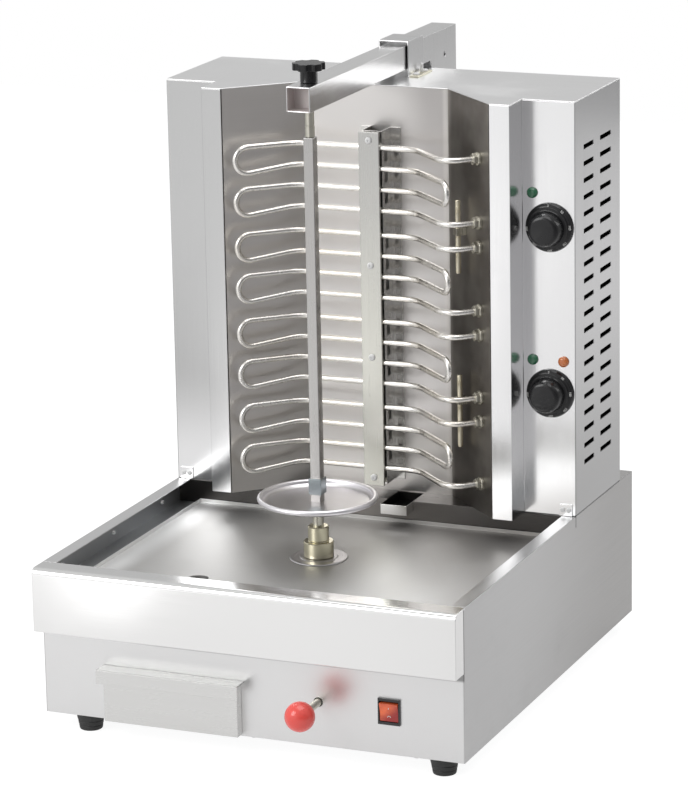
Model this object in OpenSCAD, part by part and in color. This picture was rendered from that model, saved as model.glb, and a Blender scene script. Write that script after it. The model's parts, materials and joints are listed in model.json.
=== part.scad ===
// Countertop vertical skewer grill: a stainless cabinet with a drip pan and a crumb drawer,
// a heater tower with four tubular elements, and a motor-driven spit on a sliding carriage.
// Origin: centre of the cabinet's footprint on the worktop. +X right, +Y back, +Z up.

/* [Cabinet] */
// Width over the side walls
body_w = 480; // [470:2:500]
// Depth from the fascia to the rear wall
body_d = 560; // [556:2:570]
// Height of the rubber feet
foot_h = 18; // [16:1:20]
// Height of the rim round the drip pan
rim_z = 185; // [184:0.5:187]
// Height of the drip pan's floor
pan_z = 159.6; // [159:0.2:160]
// How far the fascia stands ahead of the lower panel
fascia_proj = 22.5; // [20:0.5:24]
// Height of the fascia
fascia_h = 70; // [64:1:72]
// Thickness of the folded sheet
sheet = 1.2; // [1:0.1:1.4]
// Width of the flange along each side rim
rim_flange = 16; // [12:1:18]
// Diameter of the pan's drain
drain_d = 22; // [18:1:24]

/* [Heater tower] */
// Height of the top plate's upper face
tower_z = 645.7; // [643:0.1:649]
// Distance from the fascia back to the wing faces
wing_from_front = 367.5; // [366:0.5:369]
// Distance from the fascia back to the narrow front strips
strip_from_front = 329; // [328:0.5:330]
// Distance from the fascia back to the flat back reflector
back_from_front = 401.2; // [400.8:0.1:401.6]
// Depth of the tower behind its wing faces
tower_d = 149.5; // [140:0.5:152]
// Half distance to the inner edge of each wing face
wing_x = 180; // [178:1:182]
// Half distance to the inner edge of each front strip
strip_x = 156.6; // [156:0.1:157.5]
// Half width of the flat back reflector
back_x = 82; // [81:0.5:83]
// Number of vent slots in each column
vent_rows = 20; // [4:1:21]
// Height step between vent slots
vent_pitch = 18.5; // [16:0.5:18.5]

/* [Heating elements] */
// Diameter of an element's tube
tube_d = 6.5; // [6:0.1:6.8]
// Height step between the passes of one element
pass_pitch = 23.4; // [22:0.1:24]
// Height step between one element and the next
element_pitch = 97.5; // [97:0.1:100]
// Distance from the top plate down to the highest pass
first_pass_drop = 63.9; // [60:0.1:68]
// Sag of each hairpin's lower leg at its U-turn
leg_droop = 7.6; // [2:0.1:9]

/* [Spit and carriage] */
// Distance from the fascia back to the spit's axis
spit_from_front = 211.5; // [210:0.5:213]
// Side of the square spit bar
spit_side = 11.5; // [10:0.5:12]
// Diameter of the meat disc
disc_d = 131; // [124:1:140]
// Outer side of the square overhead arm
arm_side = 27; // [26:1:28]
// Height of the arm's lower face
arm_z = 654; // [652:0.5:656]
// Travel of the carriage towards the heaters
carriage_travel = 20; // [10:1:20]

/* [Controls and drawer] */
// Outer diameter of a thermostat knob's skirt
knob_d = 54; // [48:1:56]
// Diameter of a knob's cap
cap_d = 38; // [34:1:40]
// Diameter of the red ball
ball_d = 32; // [28:1:34]
// Diameter of the push rod
rod_d = 8.5; // [8:0.5:9]
// Depth of the crumb drawer's tray
drawer_depth = 250; // [180:10:260]

/* [Hidden] */
$fn = 48;

steel = "#c9cacb";
bright = "#e6e6e6";
dark_steel = "#8d8a86";
zinc = "#b9b7a8";
black = "#1d1d1f";

// Planes of the cabinet
front_y = -body_d / 2;
panel_y = front_y + fascia_proj;
rear_y = body_d / 2;
wall_in = body_w / 2 - sheet;
rim_in_y = front_y + 28;
fascia_z = rim_z - fascia_h;
well_y = front_y + 365;
pan_under = pan_z - sheet;
pan_half = 212;
pan_front = front_y + 30;
floor_top = foot_h + sheet;
ledge_w = 34;

// Planes of the tower
wing_y = front_y + wing_from_front;
strip_y = front_y + strip_from_front;
back_y = front_y + back_from_front;
tower_rear = wing_y + tower_d;
tower_top = tower_z - sheet;
leg_angle = atan2(back_y - strip_y, strip_x - back_x);

// Heating elements: the plane of the passes, and the ends of the passes
pass_y = back_y - 30.2;
left_bend = -85.5;
right_bend = 55;
left_reach = 72;
inner_reach = 81.7;
outer_reach = 76;
bend_r = 34;
terminal_r = 20;
hairpin_r = 0.47;
terminal_run = 40.5;
tube_r = tube_d / 2;
first_pass_z = tower_z - first_pass_drop;
holder_z0 = first_pass_z - 3 * element_pitch - 3 * pass_pitch - 20;
holder_z1 = first_pass_z + 17.7;
holder_half = 12;
holder_x = 2.8;
bar_t = 3;
channel_front = pass_y + tube_r;
screw_levels = [590.5, 450.5, 346.5, 208.5];
channel_flange = 23.5;

// Spit, carriage and arm
spit_y = front_y + spit_from_front;
spindle_d = 12;
arm_front = spit_y - 30;
arm_end = 216;
arm_top = arm_z + arm_side;
tail_y = rear_y + 41.5;
spit_top = 622.6;
disc_z = 222;
slot_cover_z = pan_z + 0.3;
rail_x = 62;
rail_w = 8;
cross_z = 81;
cross_h = 12;
rail_top = cross_z + cross_h + 8;
plate_z = rail_top + 0.3;
plate_t = 3;
motor_z = plate_z + plate_t;
gearbox_z = motor_z + 32;
gearbox_top = gearbox_z + 14.5;
rod_x = 77.3;
rod_z = 66;
ball_y = panel_y - 48;
plate_front = spit_y - 60;
plate_rear = spit_y + 60;
link_z = motor_z;
link_t = 6;

// Controls and drawer
knob_x = 211;
knob_zs = [507, 322.5];
skirt_t = 6;
cap_t = 18;
knob_gap = 0.3;
shaft_d = 6;
lamp_d = 12;
green_lamps = [[191.4, 544], [191, 359]];
amber_lamp = [226.3, 359];
switch_x = 157.3;
switch_z = 65.3;
bezel_w = 24.5;
bezel_h = 28.5;
rocker_w = 20.5;
rocker_tilt = 8;
pin_d = 3;
pin_half = 10.85;
drawer_x0 = -165;
drawer_x1 = -10;
drawer_z0 = 20;
drawer_z1 = 78;
tray_x0 = -158;
tray_x1 = -17;
tray_z0 = 23;
tray_z1 = 69;
feet_at = [[-195, front_y + 38], [211.5, front_y + 38], [-208, rear_y - 25], [208, rear_y - 25]];
gland_at = [-150, rear_y, 63];
loom_at = [205, 160];
bulb_along = 40;
clip_zs = [495.5, 305.5];
saddle_y0 = 172;
saddle_y1 = 215;
base_screws_at = [[0, front_y + 30], [184, front_y + 30], [0, rear_y - 14], [184, rear_y - 14]];
stud_ys = [-214, -88, 37];
stud_z = 170;
catch_x0 = 18;
catch_x1 = 49;
catch_z0 = 173.4;
catch_rear = 119;

// Folded sheet: the polygon of a strip that follows the points, thick to the left of its run
function unit(v) = v / norm(v);
function left_of(a, b) = let (d = unit(b - a)) [-d[1], d[0]];
function mitre(p, i, t) =
    let (before = left_of(p[max(i - 1, 0)], p[max(i, 1)]),
         last = len(p) - 1,
         after = left_of(p[min(i, last - 1)], p[min(i + 1, last)]))
    (before + after) * t / (1 + before * after);
function folded(p, t) =
    concat(p, [for (i = [len(p) - 1:-1:0]) p[i] + mitre(p, i, t)]);
function arc(centre, r, from, to, steps) =
    [for (i = [0:steps]) let (a = from + (to - from) * i / steps) centre + r * [cos(a), sin(a)]];

// A plate between two corners
module block(a, b) {
    translate(a) cube(b - a);
}

// A profile given as [y, z], extruded from x0 to x1
module along_x(x0, x1) {
    translate([x0, 0, 0]) rotate([90, 0, 90]) linear_extrude(x1 - x0) children();
}

// A round bar along +X from the given point
module bar_x(at, d, length) {
    translate(at) rotate([0, 90, 0]) cylinder(d = d, h = length);
}

// A round bar along +Y from the given point
module bar_y(at, d, length) {
    translate(at) rotate([-90, 0, 0]) cylinder(d = d, h = length);
}

// A round bar along +Z
module bar_z(at, d, length) {
    translate(at) cylinder(d = d, h = length);
}

// A pan head screw, with its head's seat at the origin and its shank running along -Z
module pan_screw(d, head, shank) {
    cylinder(d1 = head, d2 = head * 0.55, h = d * 0.6);
    translate([0, 0, -shank]) cylinder(d = d, h = shank);
}

module both_sides() {
    children();
    mirror([1, 0, 0]) children();
}

// ---- Cabinet ----

module side_wall() {
    difference() {
        union() {
            block([wall_in, panel_y, foot_h], [body_w / 2, rear_y, rim_z - sheet]);
            block([body_w / 2 - rim_flange, rim_in_y, rim_z - sheet],
                  [body_w / 2, well_y, rim_z]);
            block([wall_in, well_y, rim_z - sheet], [body_w / 2, rear_y, rim_z]);
        }
        block([wall_in - 1, wing_y - 0.8, rim_z - 12.5], [body_w / 2 + 1, wing_y + 0.8, rim_z + 1]);
    }
}

module cabinet_shell() {
    color(steel) difference() {
        union() {
            both_sides() side_wall();
            block([-wall_in, panel_y, foot_h], [wall_in, panel_y + sheet, pan_under - sheet]);
        }
        block([tray_x0 - 1.5, panel_y - 1, tray_z0 - 1.5], [tray_x1 + 1.5, panel_y + 3, tray_z1 + 1.5]);
        bar_y([rod_x, panel_y - 1, rod_z], rod_d + 1.5, 4);
        block([switch_x - 11.1, panel_y - 1, switch_z - 13.1],
              [switch_x + 11.1, panel_y + 3, switch_z + 13.1]);
    }
}

// The fascia's cross-section: bottom return, face, rounded edge, top flange and inner lip
module fascia() {
    edge_r = 7;
    outer = concat([[panel_y, fascia_z], [front_y, fascia_z]],
                   arc([front_y + edge_r, rim_z - edge_r], edge_r, 180, 90, 8),
                   [[rim_in_y, rim_z], [rim_in_y, pan_z + 0.4]]);
    cap = concat([[panel_y, fascia_z], [front_y, fascia_z]],
                 arc([front_y + edge_r, rim_z - edge_r], edge_r, 180, 90, 8),
                 [[panel_y, rim_z]]);
    color(bright) {
        along_x(-wall_in, wall_in) polygon(folded(outer, -sheet));
        both_sides() along_x(wall_in, body_w / 2) polygon(cap);
        both_sides() block([wall_in, panel_y, rim_z - sheet], [body_w / 2, rim_in_y, rim_z]);
    }
}

module rear_wall() {
    vents = 8;
    color(steel) difference() {
        block([-wall_in, rear_y - sheet, floor_top], [wall_in, rear_y, rim_z - sheet]);
        block([-17, rear_y - 3, link_z - 4], [17, rear_y + 1, link_z + link_t + 4]);
        bar_y(gland_at - [0, 3, 0], 16, 4);
        for (i = [0:vents - 1])
            block([60, rear_y - 3, 53 + i * 12], [170, rear_y + 1, 58 + i * 12]);
    }
}

module bottom_plate() {
    slots = 9;
    color(dark_steel) difference() {
        block([-wall_in, panel_y + sheet, foot_h], [wall_in, rear_y, floor_top]);
        for (at = feet_at) bar_z([at[0], at[1], foot_h - 1], 5.2, 4);
        for (at = base_screws_at) bar_z([at[0], at[1], foot_h - 1], 4.2, 4);
        for (i = [0:slots - 1])
            block([20 + i * 18, 20, foot_h - 1], [26 + i * 18, 120, floor_top + 1]);
    }
}

// The deck behind the pan, with the pan well's rear wall folded down from its front edge
module rear_deck() {
    color(bright) difference() {
        union() {
            block([-wall_in, well_y, rim_z - sheet], [wall_in, rear_y, rim_z]);
            block([-wall_in, well_y, pan_under], [wall_in, well_y + sheet, rim_z - sheet]);
        }
        block([catch_x0, well_y - 1, catch_z0], [catch_x1, catch_rear, rim_z + 1]);
        bar_z([loom_at[0], loom_at[1], rim_z - 3], 20, 6);
    }
}

module pan_ledges() {
    vertical = 20;
    color(dark_steel) {
        both_sides() {
            block([wall_in - ledge_w, rim_in_y, pan_under - sheet], [wall_in, well_y, pan_under]);
            block([wall_in - sheet, rim_in_y, pan_under], [wall_in, well_y, pan_under + vertical]);
        }
        block([-wall_in + ledge_w, panel_y + sheet, pan_under - sheet],
              [wall_in - ledge_w, panel_y + 22, pan_under]);
    }
}

module ledge_rivets() {
    color(bright) both_sides() for (y = stud_ys)
        translate([wall_in - sheet, y, stud_z]) rotate([0, -90, 0]) cylinder(d1 = 7, d2 = 4, h = 2.5);
}

module drip_pan() {
    hem = 4;
    drain_x = -93;
    drain_y = front_y + 101;
    slot_r = 8;
    color(steel) difference() {
        union() {
            block([-pan_half, pan_front, pan_under], [pan_half, well_y - 0.5, pan_z]);
            difference() {
                block([-pan_half, pan_front, pan_z], [pan_half, well_y - 0.5, pan_z + hem]);
                block([-pan_half + sheet, pan_front + sheet, pan_z - 1],
                      [pan_half - sheet, well_y - 0.5 - sheet, pan_z + hem + 1]);
            }
            bar_z([drain_x, drain_y, pan_under - 30], drain_d + 2 * sheet, 30);
        }
        bar_z([drain_x, drain_y, pan_under - 31], drain_d, 40);
        bar_z([0, spit_y, pan_under - 1], 2 * slot_r, 4);
        bar_z([0, spit_y + carriage_travel, pan_under - 1], 2 * slot_r, 4);
        block([-slot_r, spit_y, pan_under - 1], [slot_r, spit_y + carriage_travel, pan_z + 1]);
    }
}

// A small polished trough that sticks out of a notch in the deck, open at the top
module grease_lip() {
    lip_y = well_y - 20;
    color(bright) difference() {
        block([catch_x0, lip_y, catch_z0], [catch_x1, catch_rear, rim_z - 0.4]);
        block([catch_x0 + sheet, lip_y + sheet, catch_z0 + sheet],
              [catch_x1 - sheet, catch_rear - sheet, rim_z]);
    }
}

module rubber_feet() {
    color(black) for (at = feet_at) translate([at[0], at[1], 0]) difference() {
        rotate_extrude() polygon([[0, 0], [11.8, 0], [12.4, 0.7], [13, 4.4], [12.4, 5.1], [13.3, 5.9],
                                  [13.9, 9.6], [13.3, 10.3], [14.3, 11.1], [15.7, foot_h],
                                  [0, foot_h]]);
        translate([0, 0, -1]) cylinder(d = 10, h = 6);
        cylinder(d = 5.2, h = foot_h + 1);
    }
}

module underside_screws() {
    color(zinc) {
        for (at = feet_at) translate([at[0], at[1], 5]) mirror([0, 0, 1]) pan_screw(5, 9.4, 16);
        for (at = base_screws_at)
            translate([at[0], at[1], foot_h]) mirror([0, 0, 1]) pan_screw(4, 8, 6);
    }
}

module drawer_runners() {
    y0 = panel_y + 3;
    y1 = panel_y + drawer_depth + 10;
    middle = (tray_x0 + tray_x1) / 2;
    outer = (tray_x1 - tray_x0) / 2 + 2;
    color(dark_steel) translate([middle, 0, 0]) both_sides() {
        block([outer - sheet, y0, floor_top], [outer, y1, floor_top + 30]);
        block([outer - 11, y0, floor_top + 2], [outer - sheet, y1, tray_z0 - 0.4]);
        block([outer - 2 * sheet, y0, floor_top], [outer - sheet, y1, floor_top + 2]);
    }
}

// Two cross bars between the side walls carry the two rails that the carriage slides on
module slide_frame() {
    cross_w = 20;
    color(dark_steel) {
        for (y = [plate_front - 56, well_y - 20])
            block([-wall_in, y, cross_z], [wall_in, y + cross_w, cross_z + cross_h]);
        for (x = [-rail_x, rail_x])
            block([x - rail_w / 2, plate_front - 56, cross_z + cross_h],
                  [x + rail_w / 2, well_y, rail_top]);
    }
}

module switch_bezel() {
    hole_h = 22.4;
    color(black) difference() {
        union() {
            block([switch_x - bezel_w / 2, panel_y - 2.4, switch_z - bezel_h / 2],
                  [switch_x + bezel_w / 2, panel_y, switch_z + bezel_h / 2]);
            block([switch_x - 11, panel_y, switch_z - 13], [switch_x + 11, panel_y + 26, switch_z + 13]);
        }
        block([switch_x - rocker_w / 2 - 0.3, panel_y - 4, switch_z - hole_h / 2],
              [switch_x + rocker_w / 2 + 0.3, panel_y + 15, switch_z + hole_h / 2]);
        bar_x([switch_x - 12, panel_y + 3, switch_z], pin_d + 0.3, 24);
    }
}

module cable_gland() {
    color(black) difference() {
        union() {
            bar_y(gland_at - [0, 12, 0], 15.8, 14);
            bar_y(gland_at, 24, 10);
            translate(gland_at - [0, 5.2, 0]) rotate([-90, 0, 0]) cylinder(d = 24, h = 4, $fn = 6);
        }
        bar_y(gland_at - [0, 20, 0], 8, 40);
    }
}

module terminal_block() {
    color("#e9e4d6") difference() {
        block([165, 150, floor_top], [225, 172, floor_top + 24]);
        for (i = [0:4]) bar_z([171 + i * 12, 161, floor_top + 14], 5, 11);
    }
}

// The internal wiring sleeve: up from the terminal block through the deck to both thermostats
module wire_loom() {
    color("#5a4a3c") {
        bar_z([loom_at[0], loom_at[1], floor_top + 24], 8, knob_zs[0] - floor_top - 24);
        for (z = knob_zs) {
            translate([loom_at[0], loom_at[1], z]) sphere(d = 8);
            bar_y([loom_at[0], wing_y + 28, z], 8, loom_at[1] - wing_y - 28);
        }
    }
}

// ---- Heater tower ----

module side_vents() {
    for (column = [[wing_y + 44.5, 32], [wing_y + 100.5, 36]])
        for (i = [0:vent_rows - 1])
            translate([body_w / 2, column[0], rim_z + 54.5 + i * vent_pitch])
                cube([10, column[1], 5], center = true);
}

module casing_right() {
    plan = [[strip_x, strip_y], [wing_x, strip_y], [wing_x, wing_y], [body_w / 2, wing_y],
            [body_w / 2, tower_rear]];
    color(bright) difference() {
        translate([0, 0, rim_z]) linear_extrude(tower_top - rim_z) polygon(folded(plan, sheet));
        side_vents();
        for (z = knob_zs) bar_y([knob_x, wing_y - 1, z], 10, 4);
        for (at = concat(green_lamps, [amber_lamp])) bar_y([at[0], wing_y - 1, at[1]], 9, 4);
    }
}

module casing_left() {
    plan = [[strip_x, strip_y], [wing_x, strip_y], [wing_x, wing_y], [body_w / 2, wing_y],
            [body_w / 2, tower_rear]];
    color(bright) mirror([1, 0, 0]) difference() {
        translate([0, 0, rim_z]) linear_extrude(tower_top - rim_z) polygon(folded(plan, sheet));
        side_vents();
    }
}

// One folded sheet: two angled reflectors and the flat back between them
module heat_reflector() {
    short = 1.3;
    end = [strip_x, strip_y] + short * [-cos(leg_angle), sin(leg_angle)];
    plan = [[-end[0], end[1]], [-back_x, back_y], [back_x, back_y], end];
    color(dark_steel) difference() {
        translate([0, 0, rim_z]) linear_extrude(tower_top - rim_z) polygon(folded(plan, sheet));
        for (z = terminal_zs()) at_terminal(z) cylinder(d = tube_d + 2, h = 6, center = true);
        for (z = clip_zs) on_right_reflector(bulb_along, z) cylinder(d = 3, h = 6, center = true);
    }
}

module top_plate() {
    half = [[strip_x, strip_y], [wing_x, strip_y], [wing_x, wing_y], [body_w / 2, wing_y],
            [body_w / 2, tower_rear]];
    n = len(half);
    outline = concat([[back_x, back_y]], half,
                     [for (i = [n - 1:-1:0]) [-half[i][0], half[i][1]]], [[-back_x, back_y]]);
    color(steel) difference() {
        translate([0, 0, tower_top]) linear_extrude(sheet) polygon(outline);
        for (at = saddle_screws()) bar_z([at[0], at[1], tower_top - 1], 4.2, 4);
    }
}

module rear_cover() {
    rows = 14;
    row_pitch = 24;
    color(steel) difference() {
        block([-wall_in, tower_rear - sheet, rim_z], [wall_in, tower_rear, tower_top]);
        for (x = [-150, -50, 50, 150])
            for (i = [0:rows - 1]) translate([x, tower_rear, rim_z + 78 + i * row_pitch])
                block([-28, -3, 0], [28, 1, 5]);
    }
}

module corner_tabs() {
    color(bright) both_sides() difference() {
        block([221, wing_y - 1.6, rim_z], [236, wing_y, rim_z + 13.5]);
        for (x = [225, 232]) bar_y([x, wing_y - 3, rim_z + 7], 3.2, 4);
    }
}

function saddle_screws() = [for (x = [-23.2, 21.7], y = [saddle_y0 + 9, saddle_y1 - 9]) [x, y]];

// All M3 and M4 pan heads on the tower: corner tabs, arm saddle and element holder
module panel_screws() {
    color(zinc) {
        both_sides() for (x = [225, 232])
            translate([x, wing_y - 1.6, rim_z + 7]) rotate([90, 0, 0]) pan_screw(3, 5.6, 1.6);
        for (at = saddle_screws())
            translate([at[0], at[1], tower_z + 2]) pan_screw(4, 7.4, 8);
        bar_z([21, 199.4, tower_z + 2], 3.6, 10);
        for (z = screw_levels)
            translate([holder_x, pass_y - tube_r - bar_t, z]) rotate([90, 0, 0])
                pan_screw(4, 7.6, bar_t + tube_d + sheet);
    }
}

// The strap over the arm: an inverted U, close on its right side, with a foot on each side
module arm_saddle() {
    strap = 1.5;
    roof = arm_top + 3.5;
    left = -19;
    right = 16.4;
    foot = 27.5;
    color(steel) difference() {
        union() {
            block([left, saddle_y0, roof], [right, saddle_y1, roof + strap]);
            block([left, saddle_y0, tower_z], [left + strap, saddle_y1, roof]);
            block([right - strap, saddle_y0, tower_z], [right, saddle_y1, roof]);
            block([-foot, saddle_y0, tower_z], [left, saddle_y1, tower_z + 2]);
            block([right, saddle_y0, tower_z], [foot, saddle_y1, tower_z + 2]);
        }
        for (at = saddle_screws()) bar_z([at[0], at[1], tower_z - 1], 4.2, 5);
    }
}

// Heights of the eight passes that end in a terminal
function terminal_zs() =
    [for (e = [0:3], p = [0, 3]) first_pass_z - e * element_pitch - p * pass_pitch];

// The arc that rounds the corner b of a path a-b-c
function rounded(a, b, c, r, steps) =
    let (u = unit(a - b), v = unit(c - b), half = acos(u * v) / 2,
         centre = b + unit(u + v) * r / sin(half),
         from = b + u * r / tan(half) - centre,
         to = b + v * r / tan(half) - centre,
         sweep = 180 - 2 * half)
    [for (i = [0:steps]) let (k = i / steps)
        centre + (sin((1 - k) * sweep) * from + sin(k * sweep) * to) / sin(sweep)];

// A path through the corners, each given as [point, radius]; the two ends aren't rounded
function rounded_path(corners, steps) =
    let (last = len(corners) - 1)
    concat([corners[0][0]],
           [for (i = [1:last - 1])
               each rounded(corners[i - 1][0], corners[i][0], corners[i + 1][0], corners[i][1], steps)],
           [corners[last][0]]);

function tangents(path) =
    let (last = len(path) - 1)
    [for (i = [0:last]) unit(path[min(i + 1, last)] - path[max(i - 1, 0)])];

// Normals that turn as little as possible along the path
function normals(t) =
    [for (i = 0, n = unit(cross(t[0], [0, 0, 1])); i < len(t);
          i = i + 1, n = i < len(t) ? unit(n - (n * t[i]) * t[i]) : n) n];

// A closed round tube along a path
module swept_tube(path, d, sides) {
    t = tangents(path);
    n = normals(t);
    rings = len(path);
    points = [for (i = [0:rings - 1], k = [0:sides - 1])
        let (a = 360 * k / sides) path[i] + d / 2 * (cos(a) * n[i] + sin(a) * cross(t[i], n[i]))];
    skin = [for (i = [0:rings - 2], k = [0:sides - 1])
        let (p = i * sides + k, q = i * sides + (k + 1) % sides)
        each [[p, p + sides, q + sides], [p, q + sides, q]]];
    polyhedron(points, concat([[for (k = [0:sides - 1]) k]], skin,
                              [[for (k = [sides - 1:-1:0]) (rings - 1) * sides + k]]));
}

// Local frame on the right reflector, `along` from its back corner, with +Z pointing backwards
module on_right_reflector(along, z) {
    translate([back_x + along * cos(leg_angle), back_y - along * sin(leg_angle), z])
        rotate([0, 0, 90 - leg_angle]) rotate([0, 90, 0]) children();
}

// The place where a terminal leg meets the right reflector
terminal_along = ([right_bend, pass_y] - [back_x, back_y]) * [cos(leg_angle), -sin(leg_angle)]
    + outer_reach;
module at_terminal(z) {
    on_right_reflector(terminal_along, z) children();
}

right_run = [cos(leg_angle), -sin(leg_angle), 0];
left_run = [-cos(leg_angle), -sin(leg_angle), 0];
through = [sin(leg_angle), cos(leg_angle), 0];

// The corners of one hairpin on the left, from its upper pass to its lower one
function left_hairpin(top) =
    let (bend = [left_bend, pass_y, top], low = bend - [0, 0, pass_pitch],
         r = (pass_pitch + leg_droop) * hairpin_r)
    [[bend, bend_r], [bend + left_run * left_reach, r],
     [low + left_run * left_reach - [0, 0, leg_droop], r], [low, bend_r]];

// The corners from a terminal behind the right reflector to its pass
function terminal_corners(z) =
    let (bend = [right_bend, pass_y, z], square = bend + right_run * outer_reach)
    [[square + through * (terminal_run + 12), 0], [square, terminal_r], [bend, bend_r]];

// One element: a single tube from terminal to terminal in four passes
module element(index) {
    z0 = first_pass_z - index * element_pitch;
    second = [right_bend, pass_y, z0 - pass_pitch];
    third = [right_bend, pass_y, z0 - 2 * pass_pitch];
    inner = 0.98 * pass_pitch / 2;
    last = terminal_corners(z0 - 3 * pass_pitch);
    corners = concat(
        terminal_corners(z0), left_hairpin(z0),
        [[second, bend_r], [second + right_run * inner_reach, inner],
         [third + right_run * inner_reach, inner], [third, bend_r]],
        left_hairpin(z0 - 2 * pass_pitch), [last[2], last[1], last[0]]);
    color("#cfcac2") swept_tube(rounded_path(corners, 4), tube_d, 8);
}

module element_1() { element(0); }
module element_2() { element(1); }
module element_3() { element(2); }
module element_4() { element(3); }

// A collar and a hex nut on each terminal leg, in front of the reflector
module terminal_nuts() {
    color(zinc) for (z = terminal_zs()) at_terminal(z) difference() {
        union() {
            translate([0, 0, -3]) cylinder(d = 15, h = 3);
            translate([0, 0, -8]) cylinder(d = 13, h = 5, $fn = 6);
        }
        translate([0, 0, -9]) cylinder(d = tube_d, h = 12);
    }
}

module element_insulators() {
    color("#efece2") for (z = terminal_zs()) at_terminal(z) {
        translate([0, 0, 12.3]) cylinder(d = 9, h = 7.7);
        translate([0, 0, 20]) cylinder(d = 3.5, h = 8);
    }
}

module holder_bar() {
    y0 = pass_y - tube_r - bar_t;
    color(steel) translate([holder_x, 0, 0]) difference() {
        block([-holder_half, y0, holder_z0], [holder_half, y0 + bar_t, holder_z1]);
        for (z = screw_levels) bar_y([0, y0 - 1, z], 4, bar_t + 2);
    }
}

// A hat-section channel on the back reflector, pierced in its sides
module holder_channel() {
    flange = channel_flange;
    section = [[-flange, back_y], [-flange, back_y - sheet], [-holder_half, back_y - sheet],
               [-holder_half, channel_front], [holder_half, channel_front],
               [holder_half, back_y - sheet], [flange, back_y - sheet], [flange, back_y],
               [holder_half - sheet, back_y], [holder_half - sheet, channel_front + sheet],
               [-holder_half + sheet, channel_front + sheet], [-holder_half + sheet, back_y]];
    color(bright) translate([holder_x, 0, 0]) difference() {
        translate([0, 0, holder_z0]) linear_extrude(holder_z1 - holder_z0) polygon(section);
        for (z = screw_levels) bar_y([0, channel_front - 1, z], 4, 4);
        for (e = [0:3], p = [0:2]) translate([0, 0, first_pass_z - e * element_pitch - p * pass_pitch])
            block([-holder_half - 1, channel_front + 6, -18], [holder_half + 1, channel_front + 16, -6]);
        both_sides() for (e = [0:3], p = [0:3])
            translate([0, 0, first_pass_z - e * element_pitch - p * pass_pitch])
                block([holder_half + 3, back_y - 3, -3], [holder_half + 9, back_y + 1, 3]);
    }
}

module sensor_bulbs() {
    color(bright) for (z = [448.5, 252.5]) {
        on_right_reflector(bulb_along, z) translate([0, 0, -8]) rotate([0, -90, 0])
            cylinder(d = 6, h = 82);
    }
}

module sensor_clips() {
    color(zinc) for (z = clip_zs) on_right_reflector(bulb_along, z) difference() {
        translate([-4, -5, -12]) cube([8, 10, 12]);
        translate([-5, 0, -8]) rotate([0, 90, 0]) cylinder(d = 6, h = 10);
    }
}

module thermostats() {
    color("#d8d2c4") for (z = knob_zs) difference() {
        union() {
            block([knob_x - 17, wing_y + sheet, z - 17], [knob_x + 17, wing_y + 28, z + 17]);
            bar_y([knob_x, wing_y - 0.1, z], 9.8, 4);
        }
        bar_y([knob_x, wing_y - 1, z], shaft_d + 0.1, 18);
    }
}

module lamp(at, tint) {
    color(tint) {
        bar_y([at[0], wing_y, at[1]], 8.8, 22);
        bar_y([at[0], wing_y - 2.2, at[1]], lamp_d, 2.2);
        translate([at[0], wing_y - 2.2, at[1]]) rotate([90, 0, 0]) cylinder(d1 = 10.6, d2 = 6, h = 2);
    }
}

module lamps_green() {
    for (at = green_lamps) lamp(at, "#3f9a5b");
}

module lamp_amber() {
    lamp(amber_lamp, "#c4552c");
}

// ---- Controls ----

// A see-saw button on a cross pin, at rest with its lower half pressed in
module rocker() {
    depth = 4.6;
    half = 9.9;
    color("#d8352b") translate([switch_x, panel_y + 3, switch_z]) rotate([rocker_tilt, 0, 0]) {
        along_x(-rocker_w / 2, rocker_w / 2)
            polygon(concat([[-depth, 0], [-depth - 1.4, half]], arc([0, 0], half, 90, -90, 14),
                           [[-depth - 1.4, -half]]));
        bar_x([-pin_half, 0, 0], pin_d, 2 * pin_half);
    }
}

// A thermostat knob: a skirt with a raised ring, a tapered cap with a rounded front, and its shaft
module knob(z) {
    step_r = 22.5;
    nose_r = cap_d / 2 - 1.6;
    edge = 4;
    profile = concat([[0, 0], [knob_d / 2, 0], [knob_d / 2, 2.2], [knob_d / 2 - 1.5, skirt_t - 1],
                      [step_r + 0.6, skirt_t - 0.6], [step_r, skirt_t], [cap_d / 2 + 0.8, skirt_t],
                      [cap_d / 2, skirt_t + 0.8]],
                     arc([nose_r - edge, skirt_t + cap_t - edge], edge, 8, 90, 4),
                     [[0, skirt_t + cap_t]]);
    color(black) translate([knob_x, wing_y - knob_gap, z]) {
        rotate([90, 0, 0]) rotate_extrude($fn = 72) polygon(profile);
        rotate([-90, 0, 0]) cylinder(d = shaft_d, h = 14);
    }
}

module knob_upper() { knob(knob_zs[0]); }
module knob_lower() { knob(knob_zs[1]); }

// ---- Drawer ----

module drawer_tray() {
    wall = 1;
    y0 = panel_y;
    y1 = panel_y + drawer_depth;
    color(steel) difference() {
        block([tray_x0, y0, tray_z0], [tray_x1, y1, tray_z1]);
        block([tray_x0 + wall, y0 + wall, tray_z0 + wall], [tray_x1 - wall, y1 - wall, tray_z1 + 1]);
    }
}

// A folded front, 12 mm deep, with a finger lip hooked over its top
module drawer_front() {
    face_y = panel_y - 12;
    lip_y = panel_y - 20;
    lip_z = drawer_z1 - 14;
    color(bright) {
        difference() {
            block([drawer_x0, face_y, drawer_z0], [drawer_x1, panel_y - 0.3, drawer_z1]);
            block([drawer_x0 + sheet, face_y + sheet, drawer_z0 + sheet],
                  [drawer_x1 - sheet, panel_y + 1, drawer_z1 - sheet]);
        }
        block([drawer_x0 - 5, lip_y, drawer_z1], [drawer_x1 + 4, panel_y - 0.3, drawer_z1 + sheet]);
        block([drawer_x0 - 5, lip_y, lip_z], [drawer_x1 + 4, lip_y + sheet, drawer_z1]);
        for (x = [tray_x0 + 8, tray_x1 - 20])
            block([x, face_y + sheet, tray_z0 + 4], [x + 12, panel_y, tray_z1 - 6]);
    }
}

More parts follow.
